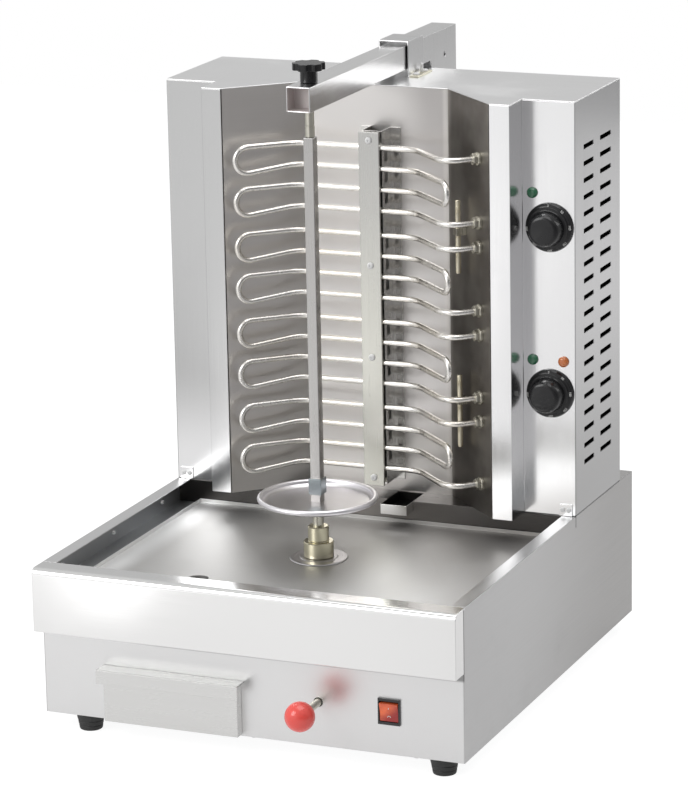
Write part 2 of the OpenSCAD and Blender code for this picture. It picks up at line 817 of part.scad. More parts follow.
// ---- Carriage ----

// The sliding plate with its guide lips and a tab folded down for the push rod
module motor_plate() {
    lip = 2;
    color(dark_steel) difference() {
        union() {
            block([-75, plate_front, plate_z], [86, plate_rear, plate_z + plate_t]);
            for (x = [-rail_x - rail_w / 2 - 0.3 - lip, rail_x + rail_w / 2 + 0.3])
                block([x, plate_front + 4, cross_z + cross_h + 1], [x + lip, plate_rear, plate_z]);
            block([69, plate_front, rod_z - 10], [86, plate_front + 3, plate_z]);
        }
        bar_y([rod_x, plate_front - 1, rod_z], rod_d, 5);
    }
}

module gearmotor() {
    color("#a9abad") {
        bar_z([0, spit_y - 12, motor_z], 64, 32);
        for (x = [-34, 34]) bar_z([x, spit_y - 12, motor_z], 9, 4);
    }
}

module gearbox() {
    color("#8f9194") {
        bar_z([0, spit_y - 8, gearbox_z], 70, 10);
        bar_z([0, spit_y, gearbox_z + 10], 34, gearbox_top - gearbox_z - 10);
    }
}

module spindle_bearing() {
    color(zinc) difference() {
        union() {
            bar_z([0, spit_y, gearbox_top], 28, 2);
            bar_z([0, spit_y, gearbox_top], 22, 5);
        }
        bar_z([0, spit_y, gearbox_top - 1], spindle_d + 0.1, 8);
    }
}

// The disc that keeps the pan's slot covered as the carriage slides
module slot_cover() {
    color(steel) translate([0, spit_y, slot_cover_z]) difference() {
        rotate_extrude() polygon([[0, 0], [32, 0], [31, 1], [27, 1.4], [25, 0.9], [21, 0.9], [20, 1.6],
                                  [0, 1.6]]);
        translate([0, 0, -1]) cylinder(d = spindle_d + 0.8, h = 4);
    }
}

module push_rod() {
    color(zinc) {
        bar_y([rod_x, ball_y + 8, rod_z], rod_d, plate_front + 3 - ball_y - 8);
        bar_y([rod_x, plate_front + 3, rod_z], rod_d - 2, 8);
        translate([rod_x, plate_front + 3, rod_z]) rotate([-90, 0, 0])
            cylinder(d = 14, h = 5, $fn = 6);
    }
}

module red_ball() {
    r = ball_d / 2;
    color("#e3322b") translate([rod_x, ball_y, rod_z]) rotate([-90, 0, 0]) rotate_extrude()
        difference() {
            circle(r = r);
            translate([-2 * r, -r]) square([2 * r, 2 * r]);
            translate([-1, 8]) square([rod_d / 2 + 1, r]);
        }
}

// A flat bar from the motor plate out through the rear wall's slot to the post
module lower_link() {
    color(dark_steel)
        block([-11, plate_rear - 25, link_z], [11, tail_y - 30.5, link_z + link_t]);
}

// A channel behind the cabinet and the tower, widened at its head to take the arm's end
module rear_post() {
    wall = 2;
    half = 14.75;
    top = arm_top + 1;
    neck_y = tail_y - 30.5;
    head = [[arm_end, top], [tail_y, top], [tail_y, link_z - 12], [neck_y, link_z - 12],
            [neck_y, arm_z - 91], [rear_y - 35, arm_z - 31], [rear_y - 35, arm_z - 1.5],
            [arm_end, arm_z - 1.5]];
    hollow = [[arm_end - 1, top - wall], [tail_y - wall, top - wall],
              [tail_y - wall, link_z - 20], [neck_y - 1, link_z - 20], [neck_y - 1, arm_z - 92],
              [rear_y - 36, arm_z - 32], [rear_y - 36, arm_z + 0.5], [arm_end - 1, arm_z + 0.5]];
    color(steel) {
        difference() {
            along_x(-half, half) polygon(head);
            along_x(-half + wall, half - wall) polygon(hollow);
            bar_x([-20, rear_y + 6, arm_z - 1], 6, 40);
        }
        block([-half + wall, neck_y, link_z - 1], [half - wall, neck_y + wall, link_z + link_t + 1]);
        block([-half + wall, arm_end, arm_z + 0.5], [half - wall, arm_end + wall, top - wall]);
    }
}

// A square tube, open in front, with a web welded in ahead of the clamp nut
module arm_tube() {
    wall = 1.5;
    half = arm_side / 2;
    web_y = spit_y - 11.3;
    color(steel) difference() {
        block([-half, arm_front, arm_z], [half, arm_end, arm_top]);
        block([-half + wall, arm_front - 1, arm_z + wall], [half - wall, arm_end + 1, arm_top - wall]);
        bar_z([0, spit_y, arm_z - 1], 10.4, arm_side + 2);
    }
    color(steel)
        block([-half + wall, web_y, arm_z + wall], [half - wall, web_y + sheet, arm_top - wall]);
}

module arm_nut() {
    color(zinc) difference() {
        translate([0, spit_y, arm_z + 1.5]) cylinder(d = 19, h = 8, $fn = 6);
        bar_z([0, spit_y, arm_z], 9.6, 12);
    }
}

// ---- Spit ----

module spindle() {
    color(zinc) bar_z([0, spit_y, gearbox_top + 0.3], spindle_d, disc_z - gearbox_top - 0.3);
}

module drive_hub() {
    step_z = pan_z + 19.6;
    color(zinc) difference() {
        union() {
            bar_z([0, spit_y, slot_cover_z + 2], 33, step_z - slot_cover_z - 2);
            bar_z([0, spit_y, step_z], 23, 17);
        }
        bar_z([0, spit_y, pan_z - 5], spindle_d, 60);
    }
}

// A shallow dish with a thick rolled rim
module meat_disc() {
    floor_t = 1.5;
    bead_r = 3;
    bead_z = 5.6;
    rim_r = disc_d / 2 - bead_r;
    color(bright) translate([0, spit_y, disc_z]) difference() {
        rotate_extrude($fn = 96) union() {
            polygon([[0, 0], [rim_r - 6, 0], [rim_r, bead_z], [rim_r - 1.6, bead_z],
                     [rim_r - 6.6, floor_t], [0, floor_t]]);
            translate([rim_r, bead_z]) circle(r = bead_r, $fn = 24);
        }
        translate([-spit_side / 2, -spit_side / 2, 0.5]) cube([spit_side, spit_side, floor_t]);
    }
}

// The square bar with its collar, let into the disc's floor, and a centre hole in its top
module spit_bar() {
    collar = 15;
    collar_z = disc_z + 10;
    collar_h = 18;
    color(zinc) translate([0, spit_y, 0]) difference() {
        union() {
            block([-spit_side / 2, -spit_side / 2, disc_z + 0.5],
                  [spit_side / 2, spit_side / 2, spit_top]);
            block([-collar / 2, -collar / 2, collar_z], [collar / 2, collar / 2, collar_z + collar_h]);
        }
        translate([0, 0, spit_top - 10]) cylinder(d = 6, h = 11);
    }
}

// The pivot that the clamp screw pushes down into the bar's centre hole, without turning
module clamp_tip() {
    color(zinc) difference() {
        union() {
            bar_z([0, spit_y, spit_top + 0.3], 10, 12);
            bar_z([0, spit_y, spit_top - 7.5], 5.85, 8);
        }
        bar_z([0, spit_y, spit_top + 5], 6.1, 10);
    }
}

// The lobed clamp knob and its screw, down through the arm to the pivot
module clamp_knob() {
    head_z = arm_top + 13.6;
    head_h = 7.5;
    lobes = 6;
    color(black) difference() {
        union() {
            bar_z([0, spit_y, head_z], 35, head_h);
            bar_z([0, spit_y, arm_top + 0.3], 18.5, head_z - arm_top - 0.3);
        }
        for (i = [0:lobes - 1]) translate([0, spit_y, 0]) rotate([0, 0, i * 360 / lobes])
            bar_z([19.5, 0, head_z - 1], 10, head_h + 2);
        bar_z([0, spit_y, arm_top], 9.5, 16);
    }
    color(zinc) {
        bar_z([0, spit_y, spit_top + 12.6], 9.5, arm_top + 16 - spit_top - 12.6);
        bar_z([0, spit_y, spit_top + 5.3], 6, 7.5);
    }
}

cabinet_shell();
fascia();
rear_wall();
bottom_plate();
rear_deck();
pan_ledges();
ledge_rivets();
drip_pan();
grease_lip();
rubber_feet();
underside_screws();
drawer_runners();
slide_frame();
switch_bezel();
cable_gland();
terminal_block();
wire_loom();
casing_left();
casing_right();
heat_reflector();
top_plate();
rear_cover();
corner_tabs();
panel_screws();
arm_saddle();
element_1();
element_2();
element_3();
element_4();
terminal_nuts();
element_insulators();
holder_bar();
holder_channel();
sensor_bulbs();
sensor_clips();
thermostats();
lamps_green();
lamp_amber();
rocker();
knob_upper();
knob_lower();
drawer_tray();
drawer_front();
motor_plate();
gearmotor();
gearbox();
spindle_bearing();
slot_cover();
push_rod();
red_ball();
lower_link();
rear_post();
arm_tube();
arm_nut();
spindle();
drive_hub();
meat_disc();
spit_bar();
clamp_tip();
clamp_knob();
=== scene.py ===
import json
import math

import bmesh
import bpy
from mathutils import Matrix, Vector


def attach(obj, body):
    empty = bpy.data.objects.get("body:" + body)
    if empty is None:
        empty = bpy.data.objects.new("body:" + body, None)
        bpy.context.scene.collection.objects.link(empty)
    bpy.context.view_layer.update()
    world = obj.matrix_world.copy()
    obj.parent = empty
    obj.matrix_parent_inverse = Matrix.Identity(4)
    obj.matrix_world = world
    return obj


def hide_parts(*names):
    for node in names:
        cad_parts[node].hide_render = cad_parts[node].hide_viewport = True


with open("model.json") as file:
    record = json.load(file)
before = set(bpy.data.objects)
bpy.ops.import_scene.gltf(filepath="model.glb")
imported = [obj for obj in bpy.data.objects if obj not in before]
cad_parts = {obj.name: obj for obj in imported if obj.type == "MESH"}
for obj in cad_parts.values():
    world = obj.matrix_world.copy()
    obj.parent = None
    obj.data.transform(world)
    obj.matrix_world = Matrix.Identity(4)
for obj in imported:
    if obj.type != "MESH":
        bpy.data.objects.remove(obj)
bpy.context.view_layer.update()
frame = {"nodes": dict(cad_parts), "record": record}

MM = 0.001
nodes = frame["nodes"]
body_of = {node: body for body, group in frame["record"]["behaviour"]["bodies"].items()
           for node in group}

# ---------------------------------------------------------------- Camera
# A long lens to the right of the grill and a little above its arm, so that
# the front, the right side and the top plate all show.
CAMERA_AZIMUTH = math.radians(22.951)
CAMERA_ELEVATION = math.radians(14.917)
CAMERA_ROLL = math.radians(-1.095)
CAMERA_DISTANCE = 4.1116
CAMERA_AIM = Vector((0.0316, -0.0652, 0.3381))
FOCAL_LENGTH = 201.25
SENSOR_WIDTH = 36

away = Vector((math.sin(CAMERA_AZIMUTH) * math.cos(CAMERA_ELEVATION),
               -math.cos(CAMERA_AZIMUTH) * math.cos(CAMERA_ELEVATION),
               math.sin(CAMERA_ELEVATION)))
level_right = Vector((math.cos(CAMERA_AZIMUTH), math.sin(CAMERA_AZIMUTH), 0))
level_up = away.cross(level_right)
right = level_right * math.cos(CAMERA_ROLL) + level_up * math.sin(CAMERA_ROLL)
up = level_up * math.cos(CAMERA_ROLL) - level_right * math.sin(CAMERA_ROLL)
camera_data = bpy.data.cameras.new("camera")
camera_data.lens = FOCAL_LENGTH
camera_data.sensor_width = SENSOR_WIDTH
camera_data.sensor_fit = "HORIZONTAL"
camera_data.clip_end = 60
camera = bpy.data.objects.new("camera", camera_data)
bpy.context.scene.collection.objects.link(camera)
camera.matrix_world = Matrix.Translation(CAMERA_AIM + away * CAMERA_DISTANCE) @ Matrix(
    (right, up, away)).transposed().to_4x4()
bpy.context.scene.camera = camera
bpy.context.scene.view_settings.view_transform = "Standard"


# ---------------------------------------------------------------- Studio
# A pale table in a soft surround, bright to the left of the camera and darker to its right.
# The steel reflects this surround, fitted to one photograph, and not the white background.
class Signal:
    """One value in a node tree. Arithmetic on it adds Math nodes; make() adds any other node."""

    def __init__(self, tree, socket=None):
        self.tree = tree
        self.socket = socket

    def make(self, kind, inputs=None, output=0, stops=None, **settings):
        node = self.tree.nodes.new(kind)
        for name, value in settings.items():
            setattr(node, name, value)
        if stops:
            ramp = node.color_ramp
            while len(ramp.elements) < len(stops):
                ramp.elements.new(0.5)
            for element, (place, shade) in zip(ramp.elements, stops):
                element.position = place
                element.color = tuple(shade) + (1,) if hasattr(shade, "__len__") else (shade,) * 3 + (1,)
        for name, value in (inputs or {}).items():
            if isinstance(value, Signal):
                self.tree.links.new(value.socket, node.inputs[name])
            else:
                node.inputs[name].default_value = value
        return Signal(self.tree, node.outputs[output] if len(node.outputs) else None)

    def maths(self, operation, a, b=0.0):
        return self.make("ShaderNodeMath", {0: a, 1: b}, operation=operation)

    def __add__(self, other):
        return self.maths("ADD", self, other)

    def __radd__(self, other):
        return self.maths("ADD", other, self)

    def __sub__(self, other):
        return self.maths("SUBTRACT", self, other)

    def __rsub__(self, other):
        return self.maths("SUBTRACT", other, self)

    def __mul__(self, other):
        return self.maths("MULTIPLY", self, other)

    def __rmul__(self, other):
        return self.maths("MULTIPLY", other, self)

    def __truediv__(self, other):
        return self.maths("DIVIDE", self, other)

    def size(self):
        return self.maths("ABSOLUTE", self)

    def smooth_step(self, low, high):
        """0 below low, 1 above high, and an even curve between."""
        return self.make("ShaderNodeMapRange", {"Value": self, "From Min": low, "From Max": high},
                         interpolation_type="SMOOTHSTEP")

    def blend(self, low, high):
        """The colour low where this is 0 and high where it is 1."""
        ends = [end if isinstance(end, Signal) else tuple(end) + (1,) for end in (low, high)]
        return self.make("ShaderNodeMix", {"Factor": self, 6: ends[0], 7: ends[1]},
                         output=2, data_type="RGBA")

    def axes(self, vector):
        """The three numbers of a vector."""
        apart = self.make("ShaderNodeSeparateXYZ", {0: vector}).socket.node
        return [Signal(self.tree, socket) for socket in apart.outputs]


# The surround as the metal sees it: brightness by compass bearing, in turns from the back
# (0.25 is the right, 0.5 the front), and a ceiling that fades in with height
SURROUND = [(0.00, 0.46), (0.10, 0.42), (0.22, 0.38), (0.30, 0.16), (0.40, 0.14), (0.47, 0.34),
            (0.53, 0.92), (0.66, 0.96), (0.76, 0.66), (0.88, 0.54), (1.00, 0.46)]
CEILING = 0.66
world = bpy.data.worlds.new("studio")
world.use_nodes = True
bpy.context.scene.world = world
world.node_tree.nodes.clear()
air = Signal(world.node_tree)
east, north, height = air.axes(air.make("ShaderNodeTexCoord", output="Generated"))
bearing = air.maths("FRACT", air.maths("ARCTAN2", east, north) / (2 * math.pi) + 1.0)
wall = air.make("ShaderNodeValToRGB", {0: bearing}, stops=SURROUND)
wall.socket.node.color_ramp.interpolation = "EASE"
surround = height.smooth_step(0.25, 0.85).blend(wall, (CEILING,) * 3)


def straight_rays(start):
    """1 for what the camera sees directly or through glass, 0 for reflections and light."""
    return start.maths("MAXIMUM", start.make("ShaderNodeLightPath", output="Is Camera Ray"),
                       start.make("ShaderNodeLightPath", output="Is Transmission Ray"))


sky = air.make("ShaderNodeBackground", {"Color": straight_rays(air).blend(surround, (1, 1, 1))})
air.make("ShaderNodeOutputWorld", {"Surface": sky})

TABLE_REACH = 3.2
TABLE_DROP = -0.2 * MM
table_mesh = bpy.data.meshes.new("table")
table_mesh.from_pydata([(x * TABLE_REACH, y * TABLE_REACH, TABLE_DROP)
                        for x, y in ((-1, -1), (1, -1), (1, 1), (-1, 1))], [], [(0, 1, 2, 3)])
table = bpy.data.objects.new("table", table_mesh)
bpy.context.scene.collection.objects.link(table)
table_finish = bpy.data.materials.new("table_paper")
table_finish.use_nodes = True
table_finish.node_tree.nodes.clear()
paper = Signal(table_finish.node_tree)
paper_x, paper_y, _ = paper.axes(paper.make("ShaderNodeTexCoord", output="Object"))
# To the metal the table is pale in front, darker far to the left and to the right, and has a
# bright patch that the fascia mirrors: its left and right edges are lines in the table's plane
far_left = (paper_x * -1.0).smooth_step(0.45, 1.0)
to_the_right = (paper_x - paper_y * 0.35).smooth_step(0.1, 1.2)
paper_left = far_left.blend((0.86, 0.855, 0.855), (0.60, 0.60, 0.60))
paper_shade = to_the_right.blend(paper_left, (0.42, 0.415, 0.425))
patch_left = paper_x - (paper_y * 0.8 + 0.143)
patch_right = (paper_y * 0.19 - 0.185) - paper_x
bright_patch = (patch_left.smooth_step(-0.004, 0.012) * patch_right.smooth_step(-0.004, 0.012)
                * (paper_y * -1.0).smooth_step(0.655, 0.675))
paper_seen = paper.make("ShaderNodeMixShader", {
    0: 0.75, 1: paper.make("ShaderNodeBsdfDiffuse", {"Color": (0.9, 0.9, 0.9, 1)}),
    2: paper.make("ShaderNodeEmission", {"Color": (1, 1, 1, 1), "Strength": 1.2})})
paper_reflected = paper.make("ShaderNodeMixShader", {
    0: 0.6, 1: paper.make("ShaderNodeBsdfDiffuse", {"Color": paper_shade}),
    2: paper.make("ShaderNodeEmission", {"Color": paper_shade, "Strength": bright_patch * 0.9 + 1.0})})
paper.make("ShaderNodeOutputMaterial", {"Surface": paper.make(
    "ShaderNodeMixShader", {0: straight_rays(paper), 1: paper_reflected, 2: paper_seen})})
table_mesh.materials.append(table_finish)

# Soft boxes: place, aim, size and power of each
SOFT_BOXES = {"key": ((-1.6, -2.4, 1.9), (0, 0, 0.3), 1.6, 34),
              "top": ((0.2, -0.1, 2.6), (0, 0, 0.3), 1.8, 22),
              "back": ((1.4, 2.0, 1.6), (0, 0, 0.3), 1.2, 10)}
for name, (stand, aim, size, power) in SOFT_BOXES.items():
    lamp_data = bpy.data.lights.new(name + "_box", "AREA")
    lamp_data.shape = "SQUARE"
    lamp_data.size = size
    lamp_data.energy = power
    soft_box = bpy.data.objects.new(name + "_box", lamp_data)
    bpy.context.scene.collection.objects.link(soft_box)
    facing = (Vector(stand) - Vector(aim)).to_track_quat("Z", "Y")
    soft_box.matrix_world = Matrix.Translation(stand) @ facing.to_matrix().to_4x4()


# ---------------------------------------------------------------- Cabinet sheet
# The cabinet, its rear wall, deck and floor: 1.2 mm stainless sheet, laser cut, folded
# and spot welded, with the mill's brushed grain running along the long way of each sheet.
def new_finish(name, roughness, metallic=0.0, **constants):
    """A Principled material, the start of its tree and its shader node."""
    material = bpy.data.materials.new(name)
    material.use_nodes = True
    shader = material.node_tree.nodes["Principled BSDF"]
    shader.inputs["Roughness"].default_value = roughness
    shader.inputs["Metallic"].default_value = metallic
    for socket, value in constants.items():
        shader.inputs[socket.replace("_", " ")].default_value = value
    return material, Signal(material.node_tree), shader


def feed(shader, socket, signal):
    signal.tree.links.new(signal.socket, shader.inputs[socket])


def noise(start, scale, detail=2.0, stretch=(1, 1, 1), roughness=0.5):
    where = start.make("ShaderNodeTexCoord", output="Object")
    mapped = start.make("ShaderNodeMapping", {"Vector": where, "Scale": stretch})
    return start.make("ShaderNodeTexNoise", {"Vector": mapped, "Scale": scale, "Detail": detail,
                                             "Roughness": roughness})


def bumped(start, shader, height, strength, depth):
    feed(shader, "Normal", start.make("ShaderNodeBump", {
        "Height": height, "Strength": strength, "Distance": depth * MM}))


GRAIN = {"X": (0.012, 1, 1), "Y": (1, 0.012, 1), "Z": (1, 1, 0.012), "level": (0.012, 0.012, 1),
         "none": (1, 1, 1)}


def brushed_steel(name, tint, roughness, grain="X", lines=0.10, clouds=0.10, depth=0.12, smudge=0.25,
                  shade=None):
    """Stainless sheet: hairlines along the grain, cloudy patches, and finger smudges in the gloss.

    shade takes the tree's start and the sheet's colour, and gives back a colour that varies."""
    material, start, shader = new_finish(name, roughness, 1.0)
    hairline = noise(start, 620, 3.0, GRAIN[grain], 0.7)
    band = noise(start, 34, 3.0, GRAIN[grain], 0.6)
    patch = noise(start, 5.5, 2.0)
    mark = noise(start, 11, 4.0, roughness=0.62).smooth_step(0.52, 0.72)
    light = 0.5 + (hairline - 0.5) * (lines * 2) + (band - 0.5) * lines * 1.5 + (patch - 0.5) * (clouds * 2)
    colour = light.blend([c * 0.88 for c in tint], [min(1.0, c * 1.08) for c in tint])
    feed(shader, "Base Color", shade(start, colour) if shade else colour)
    dullness = roughness + (hairline - 0.5) * 0.16 + (patch - 0.5) * 0.06 + mark * smudge * 0.25
    feed(shader, "Roughness", dullness)
    bumped(start, shader, hairline, depth, 0.3)
    return material


def dressed(node, material):
    """Gives a CAD node, or a piece that replaces one, its material."""
    target = nodes[node] if isinstance(node, str) else node
    target.data.materials.clear()
    target.data.materials.append(material)
    return target


def new_piece(name, mesh):
    piece = bpy.data.objects.new(name, mesh)
    bpy.context.scene.collection.objects.link(piece)
    return piece


def settle(piece, node):
    """A piece that stands for a CAD node takes its body and slot."""
    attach(piece, body_of[node])
    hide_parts(node)
    return piece


def baked(piece, name):
    """The piece with its modifiers applied, as a plain mesh object of that name."""
    bpy.context.view_layer.update()
    graph = bpy.context.evaluated_depsgraph_get()
    mesh = bpy.data.meshes.new_from_object(piece.evaluated_get(graph))
    bpy.data.objects.remove(piece)
    mesh.name = name
    return new_piece(name, mesh)


FLAT = math.radians(0.5)


def flat_regions(shape):
    """The groups of faces that lie in one plane and share edges. Each is a dict, because a set of
    faces has another order in each run, and the cuts would then differ."""
    seen = set()
    for first in shape.faces:
        if first in seen:
            continue
        region, heap = {first: None}, [first]
        while heap:
            for edge in heap.pop().edges:
                if len(edge.link_faces) == 2 and edge.calc_face_angle(9) < FLAT:
                    for face in edge.link_faces:
                        if face not in region:
                            region[face] = None
                            heap.append(face)
        seen.update(region)
        yield region


def edges_of(region):
    return list(dict.fromkeys(edge for face in region for edge in face.edges))


def border_loops(region):
    """The closed loops of points round a region: its outline, and one for each hole."""
    border = [edge for edge in edges_of(region)
              if sum(face in region for face in edge.link_faces) == 1]
    at = {}
    for edge in border:
        for vert in edge.verts:
            at.setdefault(vert, []).append(edge)
    loops = []
    while at:
        heap, loop = [next(iter(at))], {}
        while heap:
            vert = heap.pop()
            for edge in at.pop(vert, []):
                loop[vert] = None
                heap.extend(other for other in edge.verts if other in at)
        if loop:
            loops.append([vert.co.copy() for vert in loop])
    return loops


def cut_through_holes(shape):
    """Splits each pierced flat face through its holes, so that no face runs round a hole."""
    for region in list(flat_regions(shape)):
        loops = border_loops(region)
        if len(loops) < 2:
            continue
        normal = next(iter(region)).normal.copy()
        across = normal.cross(Vector((0, 0, 1)) if abs(normal.z) < 0.9 else Vector((1, 0, 0))).normalized()
        middles = []
        for loop in loops:
            low, high = (Vector([pick(point[i] for point in loop) for i in range(3)]) for pick in (min, max))
            middles.append(((high - low).length, (low + high) / 2))
        middles.sort(key=lambda found: -found[0])
        lines = {}
        for axis in (across, normal.cross(across)):
            places = {round(middle.dot(axis), 4): middle for _, middle in middles[1:]}
            lines[len(places)] = (axis, places.values())
        axis, places = lines[min(lines)]
        cut = list(region) + edges_of(region) + list(
            dict.fromkeys(vert for face in region for vert in face.verts))
        for place in places:
            made = bmesh.ops.bisect_plane(shape, geom=cut, dist=1e-6, plane_co=place, plane_no=axis)
            cut = made["geom"]
            for part in made["geom_cut"]:
                if isinstance(part, bmesh.types.BMEdge):
                    part.seam = True


def softened(node, radius, material, segments=2, angle=30):
    """The node's shape with every fold and cut edge rounded to the radius, as a deburred sheet is."""
    mesh = bpy.data.meshes.new(node + "_soft")
    shape = bmesh.new()
    shape.from_mesh(nodes[node].data)
    bmesh.ops.remove_doubles(shape, verts=shape.verts, dist=2e-6)
    cut_through_holes(shape)
    bmesh.ops.dissolve_limit(shape, angle_limit=FLAT, verts=shape.verts, edges=shape.edges, delimit={"SEAM"})
    for face in shape.faces:
        face.smooth = True
    shape.to_mesh(mesh)
    shape.free()
    piece = new_piece(node + "_draft", mesh)
    bevel = piece.modifiers.new("edges", "BEVEL")
    bevel.width = radius * MM
    bevel.segments = segments
    bevel.limit_method = "ANGLE"
    bevel.angle_limit = math.radians(angle)
    bevel.miter_outer = "MITER_ARC"
    shading = piece.modifiers.new("shading", "WEIGHTED_NORMAL")
    shading.weight = 100
    piece = settle(baked(piece, node + "_sheet"), node)
    return dressed(piece, material)


def darkened_inside(piece, material, is_inside):
    """Gives the faces that is_inside picks, by their middle in mm and their normal, the material."""
    piece.data.materials.append(material)
    for face in piece.data.polygons:
        if is_inside(face.center / MM, face.normal):
            face.material_index = len(piece.data.materials) - 1


front_steel = brushed_steel("front_sheet", (0.90, 0.90, 0.895), 0.17, "X", lines=0.04, clouds=0.04,
                            depth=0.02)


def place_of(start):
    """The three coordinates of the point, in metres in the shared frame."""
    return start.axes(start.make("ShaderNodeTexCoord", output="Object"))


APRON_FOOT, PANEL_Y = 115.0, -257.5


def painted_sides_and_apron_shadow(start, colour):
    """The outer sides are painted darker than the front, and darker still toward the back: a painted
    reflection of the dark surround. The sides are darker toward the back, as photographed, from a
    cause that isn't known. The line high up on the panel is painted, and stands for the shadow of
    the apron."""
    x, y, z = place_of(start)
    line = (z.smooth_step((APRON_FOOT - 10) * MM, (APRON_FOOT - 6.5) * MM)
            * y.smooth_step((PANEL_Y + 2) * MM, (PANEL_Y + 1) * MM) * x.smooth_step(-0.15, -0.10))
    side_reflection = y.smooth_step(-0.15, 0.25).blend((0.57, 0.57, 0.57), (0.40, 0.395, 0.39))
    sheet = x.size().smooth_step(0.2385, 0.2393).blend(colour, side_reflection)
    return (line * 0.7).blend(sheet, (0.12, 0.12, 0.12))


side_steel = brushed_steel("side_sheet", (0.80, 0.80, 0.80), 0.34, "Y", lines=0.06, clouds=0.04,
                           shade=painted_sides_and_apron_shadow)
galvanised = brushed_steel("galvanised_sheet", (0.52, 0.53, 0.54), 0.48, "none", lines=0.05, clouds=0.3)


def painted_well_shade(start, colour):
    """The deck and the well's rear wall are painted dark, most so under the tower's wings: painted
    shade. The deck and the well's rear wall are dark, most so under the tower's wings, as
    photographed. It is painted, and may be stain or shade."""
    x, y, _ = place_of(start)
    well_shade_colour = x.size().smooth_step(0.05, 0.16).blend((0.20, 0.19, 0.18), (0.065, 0.062, 0.06))
    return y.smooth_step(0.20, 0.25).blend(well_shade_colour, colour)


well_steel = brushed_steel("well_sheet", (0.62, 0.61, 0.60), 0.30, "X", shade=painted_well_shade)
softened("cabinet_shell", 0.5, side_steel)
softened("rear_wall", 0.3, side_steel)
softened("rear_deck", 0.4, well_steel)
softened("pan_ledges", 0.3, galvanised)
softened("fascia", 0.6, front_steel)
for node in ("bottom_plate", "slide_frame", "drawer_runners"):
    softened(node, 0.2, galvanised)

# ---------------------------------------------------------------- Drip pan
# A shallow pressed tray with a raised hem, lying on two ledges, and a small polished trough
# behind it. Both are bright, and the pan's colour carries painted shade.
def pan_painted_shade(start, colour):
    """The pan is painted darker in its middle, where this stands for a dimmer reflection, and at
    the right rear under the wing, where it stands for shade. The pan is darker in its middle and
    at the right rear, as photographed, from a cause that isn't known."""
    x, y, _ = place_of(start)
    middle = x.smooth_step(-0.20, -0.17) * x.smooth_step(0.10, 0.03)
    reflection_dimmed = middle.blend(colour, (0.57, 0.565, 0.555))
    return (x + y * 0.9).smooth_step(-0.05, 0.26).blend(reflection_dimmed, (0.44, 0.425, 0.41))


pan_steel = brushed_steel("pan_sheet", (0.96, 0.96, 0.95), 0.52, "X", lines=0.03, clouds=0.06, smudge=0.3,
                          shade=pan_painted_shade)
polished = brushed_steel("polished_sheet", (0.88, 0.87, 0.86), 0.10, "X", lines=0.03, clouds=0.06, depth=0.03)
softened("drip_pan", 0.5, pan_steel)
# The trough's inside faces are drawn near black.
trough_inside = brushed_steel("soot_black", (0.030, 0.028, 0.027), 0.6, "none")
lip = softened("grease_lip", 0.3, polished)
LIP_LEFT, LIP_RIGHT, LIP_FRONT, LIP_BACK, LIP_WALL = 18, 49, 65, 119.5, 0.8
darkened_inside(lip, trough_inside, lambda at, normal: LIP_LEFT + LIP_WALL < at.x < LIP_RIGHT - LIP_WALL
                and LIP_FRONT + LIP_WALL < at.y < LIP_BACK)
softened("ledge_rivets", 0.4, polished)


# ---------------------------------------------------------------- Feet
# Four ribbed black rubber feet, moulded round a steel washer and screwed up from below.
def rubber(name, shade):
    material, start, shader = new_finish(name, 0.55)
    dust = noise(start, 180, 4.0)
    feed(shader, "Base Color", dust.blend([shade * 0.7] * 3, [shade * 1.6] * 3))
    feed(shader, "Roughness", 0.45 + dust * 0.25)
    bumped(start, shader, dust, 0.25, 0.2)
    return material


softened("rubber_feet", 0.3, rubber("black_rubber_foot", 0.022))


# ---------------------------------------------------------------- Inside the cabinet
# The mains gland, the ceramic terminal block and the woven glass sleeve that carries the
# wires up into the tower.
def moulded(name, colour, roughness=0.25, coat=0.0, mottle=0.12, scale=240):
    """A moulded or glazed surface with a faint mottle and a fine orange peel."""
    material, start, shader = new_finish(name, roughness, Coat_Weight=coat, Coat_Roughness=0.06)
    grain = noise(start, scale, 3.0)
    feed(shader, "Base Color", grain.blend([c * (1 - mottle) for c in colour],
                                           [min(1, c * (1 + mottle)) for c in colour]))
    feed(shader, "Roughness", roughness + (grain - 0.5) * 0.12)
    bumped(start, shader, grain, 0.06, 0.1)
    return material


black_nylon = moulded("black_nylon", (0.018, 0.018, 0.019), 0.32, 0.2)
ceramic = moulded("glazed_ceramic", (0.82, 0.79, 0.70), 0.16, 0.5, 0.05, 90)
softened("cable_gland", 0.5, black_nylon)
softened("terminal_block", 0.6, ceramic)
sleeve, sleeve_start, sleeve_shader = new_finish("woven_sleeve", 0.8)
strands = sleeve_start.make("ShaderNodeTexWave", {
    "Vector": sleeve_start.make("ShaderNodeTexCoord", output="Object"), "Scale": 160.0, "Distortion": 1.5},
    output=1, bands_direction="DIAGONAL")
feed(sleeve_shader, "Base Color", strands.blend((0.20, 0.14, 0.09), (0.42, 0.33, 0.24)))
bumped(sleeve_start, sleeve_shader, strands, 0.6, 0.4)
dressed("wire_loom", sleeve)

# ---------------------------------------------------------------- Heater tower
# Two folded side casings with vent slots, a mirror-bright reflector folded between
# them, a flat top plate and a slotted rear cover, all stainless sheet.
def painted_tower_shade(start, colour):
    """The tower's outer sides are painted darker than its wings, most so low down, and the left
    wing's upper part darker than the right one: painted shade and reflection. The dark line at the
    sides' foot is a painted shadow along the seam."""
    x, _, z = place_of(start)
    sides = x.size().smooth_step(0.2386, 0.2394)
    seam = sides * z.smooth_step(0.1872, 0.1860)
    outer = z.smooth_step(0.2, 0.45).blend((0.39, 0.39, 0.39), (0.61, 0.61, 0.615))
    left_wing = x.smooth_step(-0.150, -0.156) * z.smooth_step(0.21, 0.32)
    wings = left_wing.blend(colour, (0.57, 0.57, 0.57))
    return seam.blend(sides.blend(wings, outer), (0.05, 0.05, 0.05))


